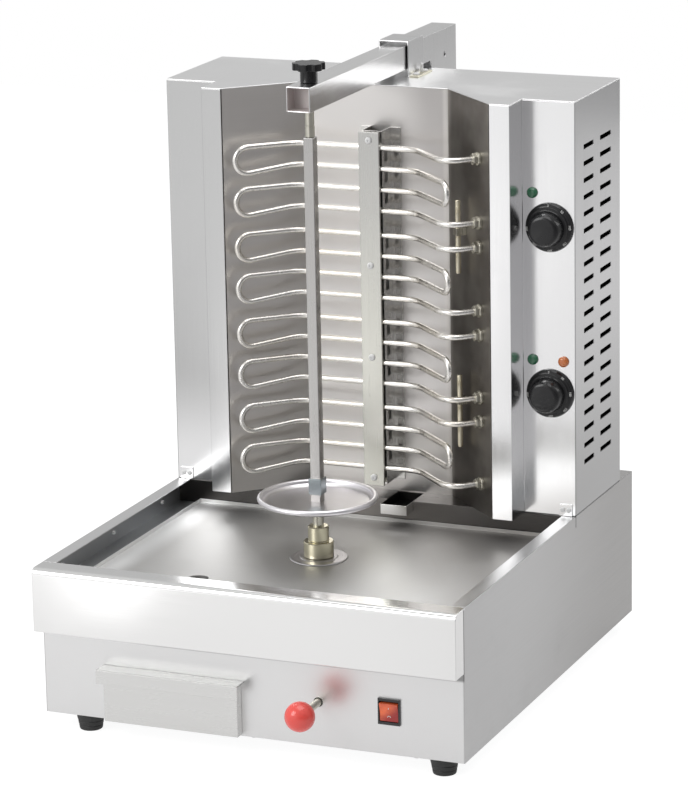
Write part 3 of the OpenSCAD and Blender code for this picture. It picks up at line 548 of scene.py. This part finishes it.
def browning_and_reflection(start, colour):
    """The right half of the reflector is painted darker and browner: partly heat browning, partly a
    painted reflection of the dark surround. Its middle is darker at the upper right."""
    x, _, z = place_of(start)
    cloud = noise(start, 14, 3.0).smooth_step(0.35, 0.75)
    upper_right = x.smooth_step(0.02, 0.06) * z.smooth_step(0.45, 0.62)
    middle = upper_right.blend((0.68, 0.66, 0.645), (0.54, 0.52, 0.51))
    steel = x.size().smooth_step(0.080, 0.074).blend(colour, middle)
    brown_and_reflection = cloud.blend((0.20, 0.185, 0.17), (0.40, 0.38, 0.355))
    return x.smooth_step(0.076, 0.09).blend(steel, brown_and_reflection)


casing_steel = brushed_steel("casing_sheet", (0.88, 0.88, 0.885), 0.18, "Z", lines=0.05, clouds=0.04,
                             depth=0.06, shade=painted_tower_shade)
reflector_steel = brushed_steel("reflector_sheet", (0.74, 0.715, 0.69), 0.34, "level", lines=0.14,
                                clouds=0.10, shade=browning_and_reflection)
unlit_steel = brushed_steel("unlit_sheet", (0.045, 0.043, 0.042), 0.5, "Z")
top_steel = brushed_steel("top_sheet", (0.95, 0.95, 0.95), 0.36, "X", lines=0.05)


def yellowish_foot(start, colour):
    """The saddle's right foot is yellowish, as photographed."""
    x, _, _ = place_of(start)
    return x.smooth_step(0.0168, 0.0176).blend(colour, (0.74, 0.71, 0.58))


saddle_steel = brushed_steel("saddle_plate", (0.80, 0.80, 0.80), 0.30, "X", lines=0.05, shade=yellowish_foot)
INNER_SIDE_X, WING_BACK_Y = 230, 90
# The inner faces of the casings and rear cover take unlit_steel: near-black painted shade.
for node, outward in (("casing_left", -1), ("casing_right", 1)):
    darkened_inside(softened(node, 0.6, casing_steel), unlit_steel,
                    lambda at, normal, outward=outward:
                    normal.x * outward < -0.5 and abs(at.x) > INNER_SIDE_X
                    or normal.y > 0.5 and at.y < WING_BACK_Y)
softened("heat_reflector", 0.5, reflector_steel)
softened("top_plate", 0.5, top_steel)
darkened_inside(softened("rear_cover", 0.3, casing_steel), unlit_steel,
                lambda at, normal: normal.y < -0.5)
softened("corner_tabs", 0.3, casing_steel)
softened("arm_saddle", 0.6, saddle_steel)

# ---------------------------------------------------------------- Element holder
# A flat bar in front and a pierced hat channel behind clamp all four elements, and two
# clips hold the thermostats' sensor bulbs on the right reflector.
def darker_top(start, colour):
    """The holder bar is darker toward its top, as photographed."""
    _, _, z = place_of(start)
    return z.smooth_step(0.35, 0.60).blend(colour, (0.51, 0.505, 0.49))


holder_steel = brushed_steel("holder_bar_steel", (0.63, 0.625, 0.575), 0.26, "Z", shade=darker_top)
channel_steel = brushed_steel("channel_steel", (0.66, 0.65, 0.63), 0.22, "Z")
zinc = brushed_steel("zinc_plate", (0.66, 0.64, 0.56), 0.28, "Z", lines=0.10)
bulb_copper = brushed_steel("sensor_bulb_tube", (0.80, 0.74, 0.58), 0.22, "Z")
softened("holder_bar", 0.5, holder_steel)
softened("holder_channel", 0.3, channel_steel)
softened("sensor_clips", 0.4, zinc)
softened("sensor_bulbs", 1.2, bulb_copper, segments=3)

# ---------------------------------------------------------------- Heating elements
# Four tubular heaters, each one 6.5 mm stainless tube bent into four passes, with a straw
# tint, hex nuts where they go through the reflector and ceramic beads behind it.
PASS_Y, LEFT_BEND, RIGHT_BEND = 91.0, -85.5, 55.0
LEFT_REACH, INNER_REACH, OUTER_REACH = 72.0, 81.7, 76.0
BEND_R, TERMINAL_R, TERMINAL_RUN = 34.0, 20.0, 40.5
PASS_PITCH, ELEMENT_PITCH, FIRST_PASS, LEG_DROOP = 23.4, 97.5, 581.8, 7.6
TUBE_R = 3.25
STRIP_X, MIDDLE_X, RUN_BACK = 156.6, 82.0, 401.2 - 329
LEG_ANGLE = math.atan2(RUN_BACK, STRIP_X - MIDDLE_X)
RIGHT_RUN = Vector((math.cos(LEG_ANGLE), -math.sin(LEG_ANGLE), 0))
LEFT_RUN = Vector((-math.cos(LEG_ANGLE), -math.sin(LEG_ANGLE), 0))
THROUGH = Vector((math.sin(LEG_ANGLE), math.cos(LEG_ANGLE), 0))


def rounded(before, corner, after, radius, steps=10):
    """The arc that rounds one corner of a path."""
    back, on = (before - corner).normalized(), (after - corner).normalized()
    half = back.angle(on) / 2
    centre = corner + (back + on).normalized() * radius / math.sin(half)
    start, end = (corner + way * radius / math.tan(half) - centre for way in (back, on))
    sweep = math.pi - 2 * half
    return [centre + (start * math.sin((1 - k / steps) * sweep) + end * math.sin(k / steps * sweep))
            / math.sin(sweep) for k in range(steps + 1)]


def element_path(index):
    top = FIRST_PASS - index * ELEMENT_PITCH
    hairpin_r = (PASS_PITCH + LEG_DROOP) * 0.47
    inner_r = 0.49 * PASS_PITCH

    def terminal(z):
        bend = Vector((RIGHT_BEND, PASS_Y, z))
        square = bend + RIGHT_RUN * OUTER_REACH
        return [(square + THROUGH * (TERMINAL_RUN + 12), 0), (square, TERMINAL_R), (bend, BEND_R)]

    def hairpin(z):
        bend = Vector((LEFT_BEND, PASS_Y, z))
        low = bend - Vector((0, 0, PASS_PITCH))
        return [(bend, BEND_R), (bend + LEFT_RUN * LEFT_REACH, hairpin_r),
                (low + LEFT_RUN * LEFT_REACH - Vector((0, 0, LEG_DROOP)), hairpin_r), (low, BEND_R)]

    second, third = (Vector((RIGHT_BEND, PASS_Y, top - k * PASS_PITCH)) for k in (1, 2))
    corners = (terminal(top) + hairpin(top)
               + [(second, BEND_R), (second + RIGHT_RUN * INNER_REACH, inner_r),
                  (third + RIGHT_RUN * INNER_REACH, inner_r), (third, BEND_R)]
               + hairpin(top - 2 * PASS_PITCH) + terminal(top - 3 * PASS_PITCH)[::-1])
    points = [corners[0][0]]
    for k in range(1, len(corners) - 1):
        points += rounded(corners[k - 1][0], corners[k][0], corners[k + 1][0], corners[k][1])
    return points + [corners[-1][0]]


def node_group(name, **inputs):
    """A Geometry Nodes tree with named inputs, given as name=(socket type, value)."""
    group = bpy.data.node_groups.new(name, "GeometryNodeTree")
    group.interface.new_socket("Geometry", in_out="INPUT", socket_type="NodeSocketGeometry")
    group.interface.new_socket("Geometry", in_out="OUTPUT", socket_type="NodeSocketGeometry")
    for label, (kind, value) in inputs.items():
        socket = group.interface.new_socket(label, in_out="INPUT", socket_type="NodeSocket" + kind)
        if kind != "Material":
            socket.default_value = value
    return group


def grown(name, mesh, group, **values):
    """The mesh put through the tree with these inputs, as a plain mesh object."""
    draft = new_piece(name + "_draft", mesh)
    modifier = draft.modifiers.new("grow", "NODES")
    modifier.node_group = group
    for item in group.interface.items_tree:
        if item.item_type == "SOCKET" and item.in_out == "INPUT" and item.name in values:
            modifier[item.identifier] = values[item.name]
    return baked(draft, name)


def asked_of(tree):
    """The tree's own inputs, by name."""
    given = tree.make("NodeGroupInput").socket.node
    return {socket.name: Signal(tree.tree, socket) for socket in given.outputs if socket.name}


def finished(tree, shape, finish):
    """Ends the tree: the shape made real, in its material."""
    whole = tree.make("GeometryNodeRealizeInstances", {"Geometry": shape})
    tree.make("NodeGroupOutput", {"Geometry": tree.make("GeometryNodeSetMaterial", {
        "Geometry": whole, "Material": finish})})


bent_tube = node_group("bent_tube", Radius=("Float", TUBE_R * MM), Sides=("Int", 20),
                       Finish=("Material", None))
tube = Signal(bent_tube)
asked = asked_of(tube)
ring = tube.make("GeometryNodeCurvePrimitiveCircle", {"Resolution": asked["Sides"],
                                                      "Radius": asked["Radius"]})
line = tube.make("GeometryNodeMeshToCurve", {"Mesh": asked["Geometry"]})
skin = tube.make("GeometryNodeCurveToMesh", {"Curve": line, "Profile Curve": ring, "Fill Caps": True})
skin = tube.make("GeometryNodeSetShadeSmooth", {"Geometry": skin, "Shade Smooth": True})
finished(tube, skin, asked["Finish"])


def heat_tint(start, colour):
    """A straw tint that comes and goes along the tube."""
    glow = noise(start, 9, 2.0).smooth_step(0.35, 0.75)
    return (glow * 0.5).blend(colour, (0.84, 0.77, 0.66))


element_steel = brushed_steel("element_tube", (0.93, 0.91, 0.88), 0.26, "X", lines=0.04, depth=0.04,
                              shade=heat_tint)
for index in range(4):
    route = [point * MM for point in element_path(index)]
    route_mesh = bpy.data.meshes.new("element_route")
    route_mesh.from_pydata(route, [(k, k + 1) for k in range(len(route) - 1)], [])
    piece = grown(f"element_{index + 1}_tube", route_mesh, bent_tube, Finish=element_steel)
    settle(piece, f"element_{index + 1}")
softened("terminal_nuts", 0.4, zinc)
softened("element_insulators", 0.4, ceramic)


# ---------------------------------------------------------------- Screws
# Cross-recess pan heads in zinc-plated steel: on the tower's tabs, saddle and holder, and
# under the cabinet. One head is made, then set on every seat.
def revolve(shape, profile, place, steps=48):
    """Turns a profile of (radius, height) in mm about place's Z axis, into the bmesh."""
    rings = []
    for radius, rise in profile:
        count = 1 if radius == 0 else steps
        rings.append([shape.verts.new(place @ (Vector((radius * math.cos(math.tau * k / steps),
                                                       radius * math.sin(math.tau * k / steps), rise)) * MM))
                      for k in range(count)])
    for low, high in zip(rings, rings[1:]):
        for k in range(steps):
            corners = [low[k % len(low)], low[(k + 1) % len(low)],
                       high[(k + 1) % len(high)], high[k % len(high)]]
            corners = [c for i, c in enumerate(corners) if c not in corners[:i]]
            if len(corners) > 2:
                shape.faces.new(corners)


def mesh_from(shape, name, angle=32):
    """A mesh whose faces point outwards and whose edges are sharp beyond the angle."""
    bmesh.ops.recalc_face_normals(shape, faces=shape.faces)
    for face in shape.faces:
        face.smooth = True
    for edge in shape.edges:
        edge.smooth = len(edge.link_faces) != 2 or edge.calc_face_angle(0) < math.radians(angle)
    mesh = bpy.data.meshes.new(name)
    shape.to_mesh(mesh)
    shape.free()
    return mesh


def cross_head():
    """A pan head of radius 1 and height 0.62 with a cross recess, and a stub of its shank."""
    shape = bmesh.new()
    here = Matrix.Identity(4)
    sides = 24
    revolve(shape, [(0, -0.3), (0.5, -0.3), (0.5, 0), (0.96, 0), (1, 0.06), (0.98, 0.25), (0.86, 0.45),
                    (0.66, 0.57), (0.58, 0.6)], here, sides)
    crown = [edge for edge in shape.edges if len(edge.link_faces) == 1]
    wide, long = 0.09, 0.42
    quarter = [(long, -wide), (long, wide), (wide, wide)]
    cross = []
    for turn in range(4):
        spin = Matrix.Rotation(turn * math.pi / 2, 3, "Z")
        cross += [spin @ Vector((x, y, 0.6)) * MM for x, y in quarter]
    rim = [shape.verts.new(point) for point in cross]
    edges = [shape.edges.new((rim[k], rim[(k + 1) % 12])) for k in range(12)]
    bmesh.ops.triangle_fill(shape, edges=crown + edges, use_beauty=True)
    pit = [shape.verts.new(point - Vector((0, 0, 0.28)) * MM) for point in cross]
    for k in range(12):
        shape.faces.new((rim[k], rim[(k + 1) % 12], pit[(k + 1) % 12], pit[k]))
    shape.faces.new(pit)
    return mesh_from(shape, "cross_head")


head_master = new_piece("cross_head_master", cross_head())
screw_row = node_group("screw_row", Finish=("Material", None), Head=("Object", None))
row = Signal(screw_row)
asked = asked_of(row)
head_info = row.make("GeometryNodeObjectInfo", {"Object": asked["Head"]}).socket.node
master = Signal(screw_row, head_info.outputs["Geometry"])
facing = row.make("GeometryNodeInputNamedAttribute", {"Name": "facing"}, data_type="FLOAT_VECTOR")
girth = row.make("GeometryNodeInputNamedAttribute", {"Name": "girth"}, data_type="FLOAT")
turned = row.make("FunctionNodeAlignRotationToVector", {"Vector": facing}, axis="Z")
heads = row.make("GeometryNodeInstanceOnPoints", {"Points": asked["Geometry"], "Instance": master,
                                                  "Rotation": turned, "Scale": girth})
finished(row, heads, asked["Finish"])


def screws(node, seats):
    """Pan heads on seats, given as (place in mm, direction the head faces, head diameter)."""
    mesh = bpy.data.meshes.new(node + "_seats")
    mesh.from_pydata([Vector(place) * MM for place, _, _ in seats], [], [])
    mesh.attributes.new("facing", "FLOAT_VECTOR", "POINT").data.foreach_set(
        "vector", [part for _, way, _ in seats for part in way])
    mesh.attributes.new("girth", "FLOAT", "POINT").data.foreach_set("value", [d / 2 for _, _, d in seats])
    return grown(node + "_heads", mesh, screw_row, Finish=zinc, Head=head_master)


TOWER_TOP, WING_Y, RIM_Z, FOOT_H = 645.7, 87.5, 185.0, 18.0
HOLDER_X, HOLDER_FACE = 2.8, PASS_Y - TUBE_R - 3
tower_seats = [((x, WING_Y - 1.6, RIM_Z + 7), (0, -1, 0), 5.6) for x in (-232, -225, 225, 232)]
tower_seats += [((x, y, TOWER_TOP + 2), (0, 0, 1), 7.4) for x in (-23.2, 21.7) for y in (181, 206)]
tower_seats += [((HOLDER_X, HOLDER_FACE, z), (0, -1, 0), 7.6) for z in (590.5, 450.5, 346.5, 208.5)]
FEET = [(-195, -242), (211.5, -242), (-208, 255), (208, 255)]
under_seats = [((x, y, 5), (0, 0, -1), 9.4) for x, y in FEET]
under_seats += [((x, y, FOOT_H), (0, 0, -1), 8) for x in (0, 184) for y in (-250, 266)]


def with_shanks(piece, shape_parts):
    """Joins lathed shanks and studs to the piece of screw heads."""
    shape = bmesh.new()
    shape.from_mesh(piece.data)
    for profile, place in shape_parts:
        revolve(shape, profile, place, 16)
    material = piece.data.materials[0]
    mesh = mesh_from(shape, piece.name)
    mesh.materials.append(material)
    name = piece.name
    bpy.data.objects.remove(piece)
    return new_piece(name, mesh)


def toward(place, way):
    """A frame at the place in mm whose Z axis points the way."""
    return Matrix.Translation(Vector(place) * MM) @ Vector(way).to_track_quat("Z", "Y").to_matrix().to_4x4()


def shank(radius, length):
    return [(0, -length), (radius, -length), (radius, 0), (0, 0)]


shanks = [(shank(1.5, 1.6), toward(*seat[:2])) for seat in tower_seats[:4]]
shanks += [(shank(2, 8), toward(*seat[:2])) for seat in tower_seats[4:8]]
shanks += [(shank(2, 10.7), toward(*seat[:2])) for seat in tower_seats[8:]]
STUD_PROFILE = [(0, 0), (1.8, 0), (1.8, 9.4), (1.3, 10), (0, 10)]
shanks += [(STUD_PROFILE, toward((21, 199.4, TOWER_TOP + 2), (0, 0, 1)))]
settle(with_shanks(screws("panel_screws", tower_seats), shanks), "panel_screws")
shanks = [(shank(2.5, 16), toward(*seat[:2])) for seat in under_seats[:4]]
shanks += [(shank(2, 6), toward(*seat[:2])) for seat in under_seats[4:]]
settle(with_shanks(screws("underside_screws", under_seats), shanks), "underside_screws")
bpy.data.objects.remove(head_master)

# ---------------------------------------------------------------- Thermostats
# Two capillary thermostats behind the right wing. Their black phenolic knobs have a skirt
# with a raised ring and pale numerals, and a tapered cap whose face is left plain.
KNOB_X, KNOB_GAP = 211.0, 0.3
thermostat_case = moulded("thermostat_case", (0.62, 0.60, 0.54), 0.45, 0.0, 0.1, 60)
softened("thermostats", 0.8, thermostat_case)
phenolic = moulded("black_phenolic", (0.009, 0.009, 0.010), 0.26, 0.25, 0.15, 160)
phenolic.node_tree.nodes["Principled BSDF"].inputs["Specular IOR Level"].default_value = 0.32
pale_ink = moulded("pale_ink", (0.78, 0.78, 0.76), 0.5, 0.0, 0.04)
KNOB_PROFILE = [(0, 0), (26.6, 0), (27, 0.4), (27, 1.9), (26.7, 2.6), (25.8, 4.6), (25.2, 5), (23.4, 5.3),
                (23.0, 5.5), (22.5, 6), (20.4, 6), (19.7, 6.3), (19.1, 7.2), (18.6, 11), (17.4, 19.6),
                (16.9, 21.4), (15.7, 22.9), (13.8, 23.8), (12.4, 24), (0, 24)]
NUMERALS = [("50", 40), ("100", 85), ("150", 130), ("200", 175), ("250", 220), ("300", 265)]


def numeral(words, height, place):
    """Raised figures standing on place's XY plane, as a bmesh."""
    curve = bpy.data.curves.new("figures", "FONT")
    curve.body = words
    curve.size = height * MM
    curve.align_x = "CENTER"
    curve.align_y = "CENTER"
    curve.extrude = 0.12 * MM
    curve.resolution_u = 3
    words_object = new_piece("figures", curve)
    bpy.context.view_layer.update()
    mesh = bpy.data.meshes.new_from_object(words_object.evaluated_get(bpy.context.evaluated_depsgraph_get()))
    bpy.data.objects.remove(words_object)
    mesh.transform(place)
    return mesh


for node, height in (("knob_upper", 507.0), ("knob_lower", 322.5)):
    # The dial's plane seen from the front: X to the right, Y up, Z out
    front = Matrix.Translation(Vector((KNOB_X, WING_Y - KNOB_GAP, height)) * MM) @ Matrix.Rotation(
        math.pi / 2, 4, "X")
    shape = bmesh.new()
    revolve(shape, KNOB_PROFILE, front, 96)
    revolve(shape, [(0, -14), (3, -14), (3, 0), (0, 0)], front, 32)
    knob = settle(new_piece(node + "_turned", mesh_from(shape, node, 24)), node)
    dressed(knob, phenolic)
    marks = bmesh.new()
    for words, degrees in NUMERALS:
        turn = math.radians(-degrees)
        spot = front @ Matrix.Rotation(turn, 4, "Z") @ Matrix.Translation((0, 24.6 * MM, 5.15 * MM))
        marks.from_mesh(numeral(words, 3.6, spot))
    spot = front @ Matrix.Translation((0, 24.7 * MM, 5.15 * MM))
    marks.from_mesh(numeral("0", 3.6, spot))
    figures = new_piece(node + "_figures", mesh_from(marks, node + "_figures"))
    dressed(figures, pale_ink)
    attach(figures, body_of[node])


# ---------------------------------------------------------------- Pilot lamps
# Snap-in neon lamps with clear coloured domes: a green one by each knob, an amber one below.
def lens(name, deep, bright_tone):
    material, start, shader = new_finish(name, 0.08, Coat_Weight=0.6, Coat_Roughness=0.04)
    facets = start.make("ShaderNodeTexVoronoi", {
        "Vector": start.make("ShaderNodeTexCoord", output="Object"), "Scale": 900.0})
    feed(shader, "Base Color", facets.blend(bright_tone, deep))
    bumped(start, shader, facets, 0.2, 0.3)
    return material


LENS_PROFILE = [(0, -22), (4.1, -22), (4.4, -21.7), (4.4, 0), (5.8, 0), (6, 0.2), (6, 1.5), (5.7, 2.1),
                (5.2, 2.3), (5.0, 2.5), (4.8, 3.0), (4.2, 3.6), (3.3, 4.0), (2.0, 4.18), (0, 4.2)]
LAMPS = {"lamps_green": ([(191.4, 544), (191, 359)],
                         lens("green_lens", (0.015, 0.11, 0.05), (0.06, 0.25, 0.13))),
         "lamp_amber": ([(226.3, 359)],
                        lens("amber_lens", (0.40, 0.09, 0.02), (0.72, 0.24, 0.07)))}
for node, (places, finish) in LAMPS.items():
    shape = bmesh.new()
    for x, z in places:
        revolve(shape, LENS_PROFILE, toward((x, WING_Y, z), (0, -1, 0)), 40)
    dressed(settle(new_piece(node + "_domes", mesh_from(shape, node)), node), finish)

# ---------------------------------------------------------------- Rocker switch
# A lit mains rocker: a clear red button on a cross pin in a black nylon bezel. The bar and
# the ring on the button are the usual on and off signs.
softened("switch_bezel", 0.7, black_nylon, segments=3)
red_glow, red_start, red_shader = new_finish("red_rocker_lens", 0.16, Coat_Weight=0.5, Coat_Roughness=0.05)
red_x, _, red_z = red_start.axes(red_start.make("ShaderNodeTexCoord", output="Object"))
# The button is painted bright red at its upper left and dark red at its lower right: painted glow and shade.
painted_glow = (red_z - red_x * 0.9).smooth_step(-0.086, -0.070) * (noise(red_start, 160, 3.0) + 0.15)
feed(red_shader, "Base Color", painted_glow.blend((0.33, 0.012, 0.010), (0.98, 0.19, 0.06)))
feed(red_shader, "Roughness", 0.12 + noise(red_start, 400) * 0.1)
softened("rocker", 0.5, red_glow, segments=3)
SWITCH = Vector((157.3, -254.5, 65.3))
button = Matrix.Translation(SWITCH * MM) @ Matrix.Rotation(math.radians(8), 4, "X")
slope = math.atan2(1.4, 9.9)
signs = bmesh.new()
low_face = button @ Matrix.Translation(Vector((0, -5.3, -5.4)) * MM) @ Matrix.Rotation(
    math.pi / 2 + slope, 4, "X")
revolve(signs, [(1.35, -0.3), (1.9, -0.3), (1.9, 0.12), (1.35, 0.12), (1.35, -0.3)], low_face, 32)
high_face = button @ Matrix.Translation(Vector((0, -5.3, 5.4)) * MM) @ Matrix.Rotation(
    math.pi / 2 - slope, 4, "X")
bmesh.ops.create_cube(signs, size=1, matrix=high_face @ Matrix.Diagonal((0.6 * MM, 3.4 * MM, 0.3 * MM, 1)))
signs = new_piece("rocker_signs", mesh_from(signs, "rocker_signs"))
dressed(signs, pale_ink)
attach(signs, "rocker")

# ---------------------------------------------------------------- Drawer
# The crumb drawer: a plain tray behind a folded front with a finger lip.
DRAWER_TOP = 79.2


def lip_painted_reflection(start, colour):
    """The lip's top is painted darker than its front, a painted reflection of the panel above it.
    The tone is painted, from a cause that isn't known, so it stays when the drawer is open."""
    _, _, z = place_of(start)
    top = z.smooth_step((DRAWER_TOP - 0.9) * MM, (DRAWER_TOP - 0.2) * MM)
    return top.blend(colour, (0.40, 0.40, 0.39))


drawer_steel = brushed_steel("drawer_sheet", (0.74, 0.74, 0.73), 0.26, "X", lines=0.10, clouds=0.03,
                             shade=lip_painted_reflection)
softened("drawer_tray", 0.3, side_steel)
softened("drawer_front", 0.8, drawer_steel)

# ---------------------------------------------------------------- Carriage
# The sliding plate under the pan with its gearmotor, and the link, post, arm and push rod
# that move with it. The rod ends in a glossy red phenolic ball.
enamel = moulded("grey_enamel", (0.34, 0.35, 0.36), 0.38, 0.1, 0.1, 40)
softened("motor_plate", 0.3, galvanised)
softened("lower_link", 0.4, galvanised)
softened("gearmotor", 1.2, enamel, segments=3)
softened("gearbox", 0.8, enamel, segments=3)
arm_steel = brushed_steel("arm_tube_steel", (0.97, 0.96, 0.96), 0.22, "Y", lines=0.08)
post_steel = brushed_steel("post_steel", (0.82, 0.82, 0.82), 0.30, "Z")
cover_steel = brushed_steel("slot_cover_sheet", (0.66, 0.645, 0.65), 0.34, "none", lines=0.03)
softened("spindle_bearing", 0.4, zinc)
softened("arm_nut", 0.6, zinc)
softened("push_rod", 0.5, zinc)
softened("rear_post", 0.8, post_steel)
ARM_Z, ARM_SIDE = 654.0, 27.0
arm_inside = brushed_steel("arm_inside_steel", (0.62, 0.57, 0.56), 0.5, "Y")
arm_inside.node_tree.nodes["Principled BSDF"].inputs["Metallic"].default_value = 0.3
BORE = ARM_SIDE / 2 - 1
darkened_inside(softened("arm_tube", 0.8, arm_steel, segments=3), arm_inside,
                lambda at, normal: abs(at.x) < BORE and abs(at.z - ARM_Z - ARM_SIDE / 2) < BORE)
softened("slot_cover", 0.2, cover_steel)
BALL = Vector((77.3, -305.5, 66.0))
BALL_R, SOCKET_R, SOCKET_DEPTH = 16.0, 4.25, 8.0
mouth = math.asin(SOCKET_R / BALL_R)
ball_profile = [(0, SOCKET_DEPTH), (SOCKET_R, SOCKET_DEPTH)]
ball_profile += [(BALL_R * math.sin(a), BALL_R * math.cos(a))
                 for a in (mouth + (math.pi - mouth) * k / 36 for k in range(36))] + [(0, -BALL_R)]
shape = bmesh.new()
revolve(shape, ball_profile, toward(BALL, (0, 1, 0)), 72)
red_phenolic = moulded("red_phenolic", (0.80, 0.085, 0.07), 0.22, 0.35, 0.05, 50)
dressed(settle(new_piece("red_ball_turned", mesh_from(shape, "red_ball")), "red_ball"), red_phenolic)

# ---------------------------------------------------------------- Spit
# The spindle and its stepped drive hub, the rolled-rim disc and the square bar that stands
# in it. Only the disc is polished; the rest is plated.
SPIT_Y, DISC_Z = -68.5, 222.0
hub_brass = brushed_steel("hub_plate", (0.70, 0.66, 0.50), 0.08, "Z", lines=0.04, depth=0.04)
dressed("spindle", zinc)
HUB_PROFILE = [(6, 161.9), (15.9, 161.9), (16.5, 162.5), (16.5, 178.3), (15.7, 179.2), (11.9, 179.2),
               (11.2, 179.9), (11.2, 180.6), (11.5, 180.9), (11.5, 195.1), (10.5, 196.2), (6, 196.2),
               (6, 161.9)]
shape = bmesh.new()
revolve(shape, HUB_PROFILE, toward((0, SPIT_Y, 0), (0, 0, 1)), 64)
dressed(settle(new_piece("drive_hub_turned", mesh_from(shape, "drive_hub")), "drive_hub"), hub_brass)


def darker_floor(start, colour):
    """The disc's floor is darker than its rolled rim, as photographed."""
    _, _, z = place_of(start)
    return z.smooth_step((DISC_Z + 1.8) * MM, (DISC_Z + 4) * MM).blend((0.60, 0.585, 0.59), colour)


disc_steel = brushed_steel("disc_sheet", (0.92, 0.90, 0.93), 0.36, "none", lines=0.03, clouds=0.08,
                           shade=darker_floor)
softened("meat_disc", 0.3, disc_steel)


def collar_tint(start, colour):
    """The collar at the bar's foot is greyer and darker than the bar, as photographed."""
    _, _, z = place_of(start)
    above = z.smooth_step((DISC_Z + 27.9) * MM, (DISC_Z + 28.1) * MM)
    below = z.smooth_step((DISC_Z + 10.1) * MM, (DISC_Z + 9.9) * MM)
    return (above + below).blend((0.26, 0.29, 0.30), colour)


bar_steel = brushed_steel("spit_bar_steel", (0.47, 0.46, 0.45), 0.26, "Z", shade=collar_tint)
softened("spit_bar", 0.7, bar_steel)

# ---------------------------------------------------------------- Clamp
# The lobed black knob on its screw, which runs down through the arm and pushes the
# pivot into the top of the bar.
softened("clamp_tip", 0.4, zinc)
clamp = softened("clamp_knob", 0.9, phenolic, segments=3)
clamp.data.materials.append(zinc)
ARM_TOP = 681.0
for face in clamp.data.polygons:
    if face.center.z < (ARM_TOP + 0.2) * MM:
        face.material_index = 1
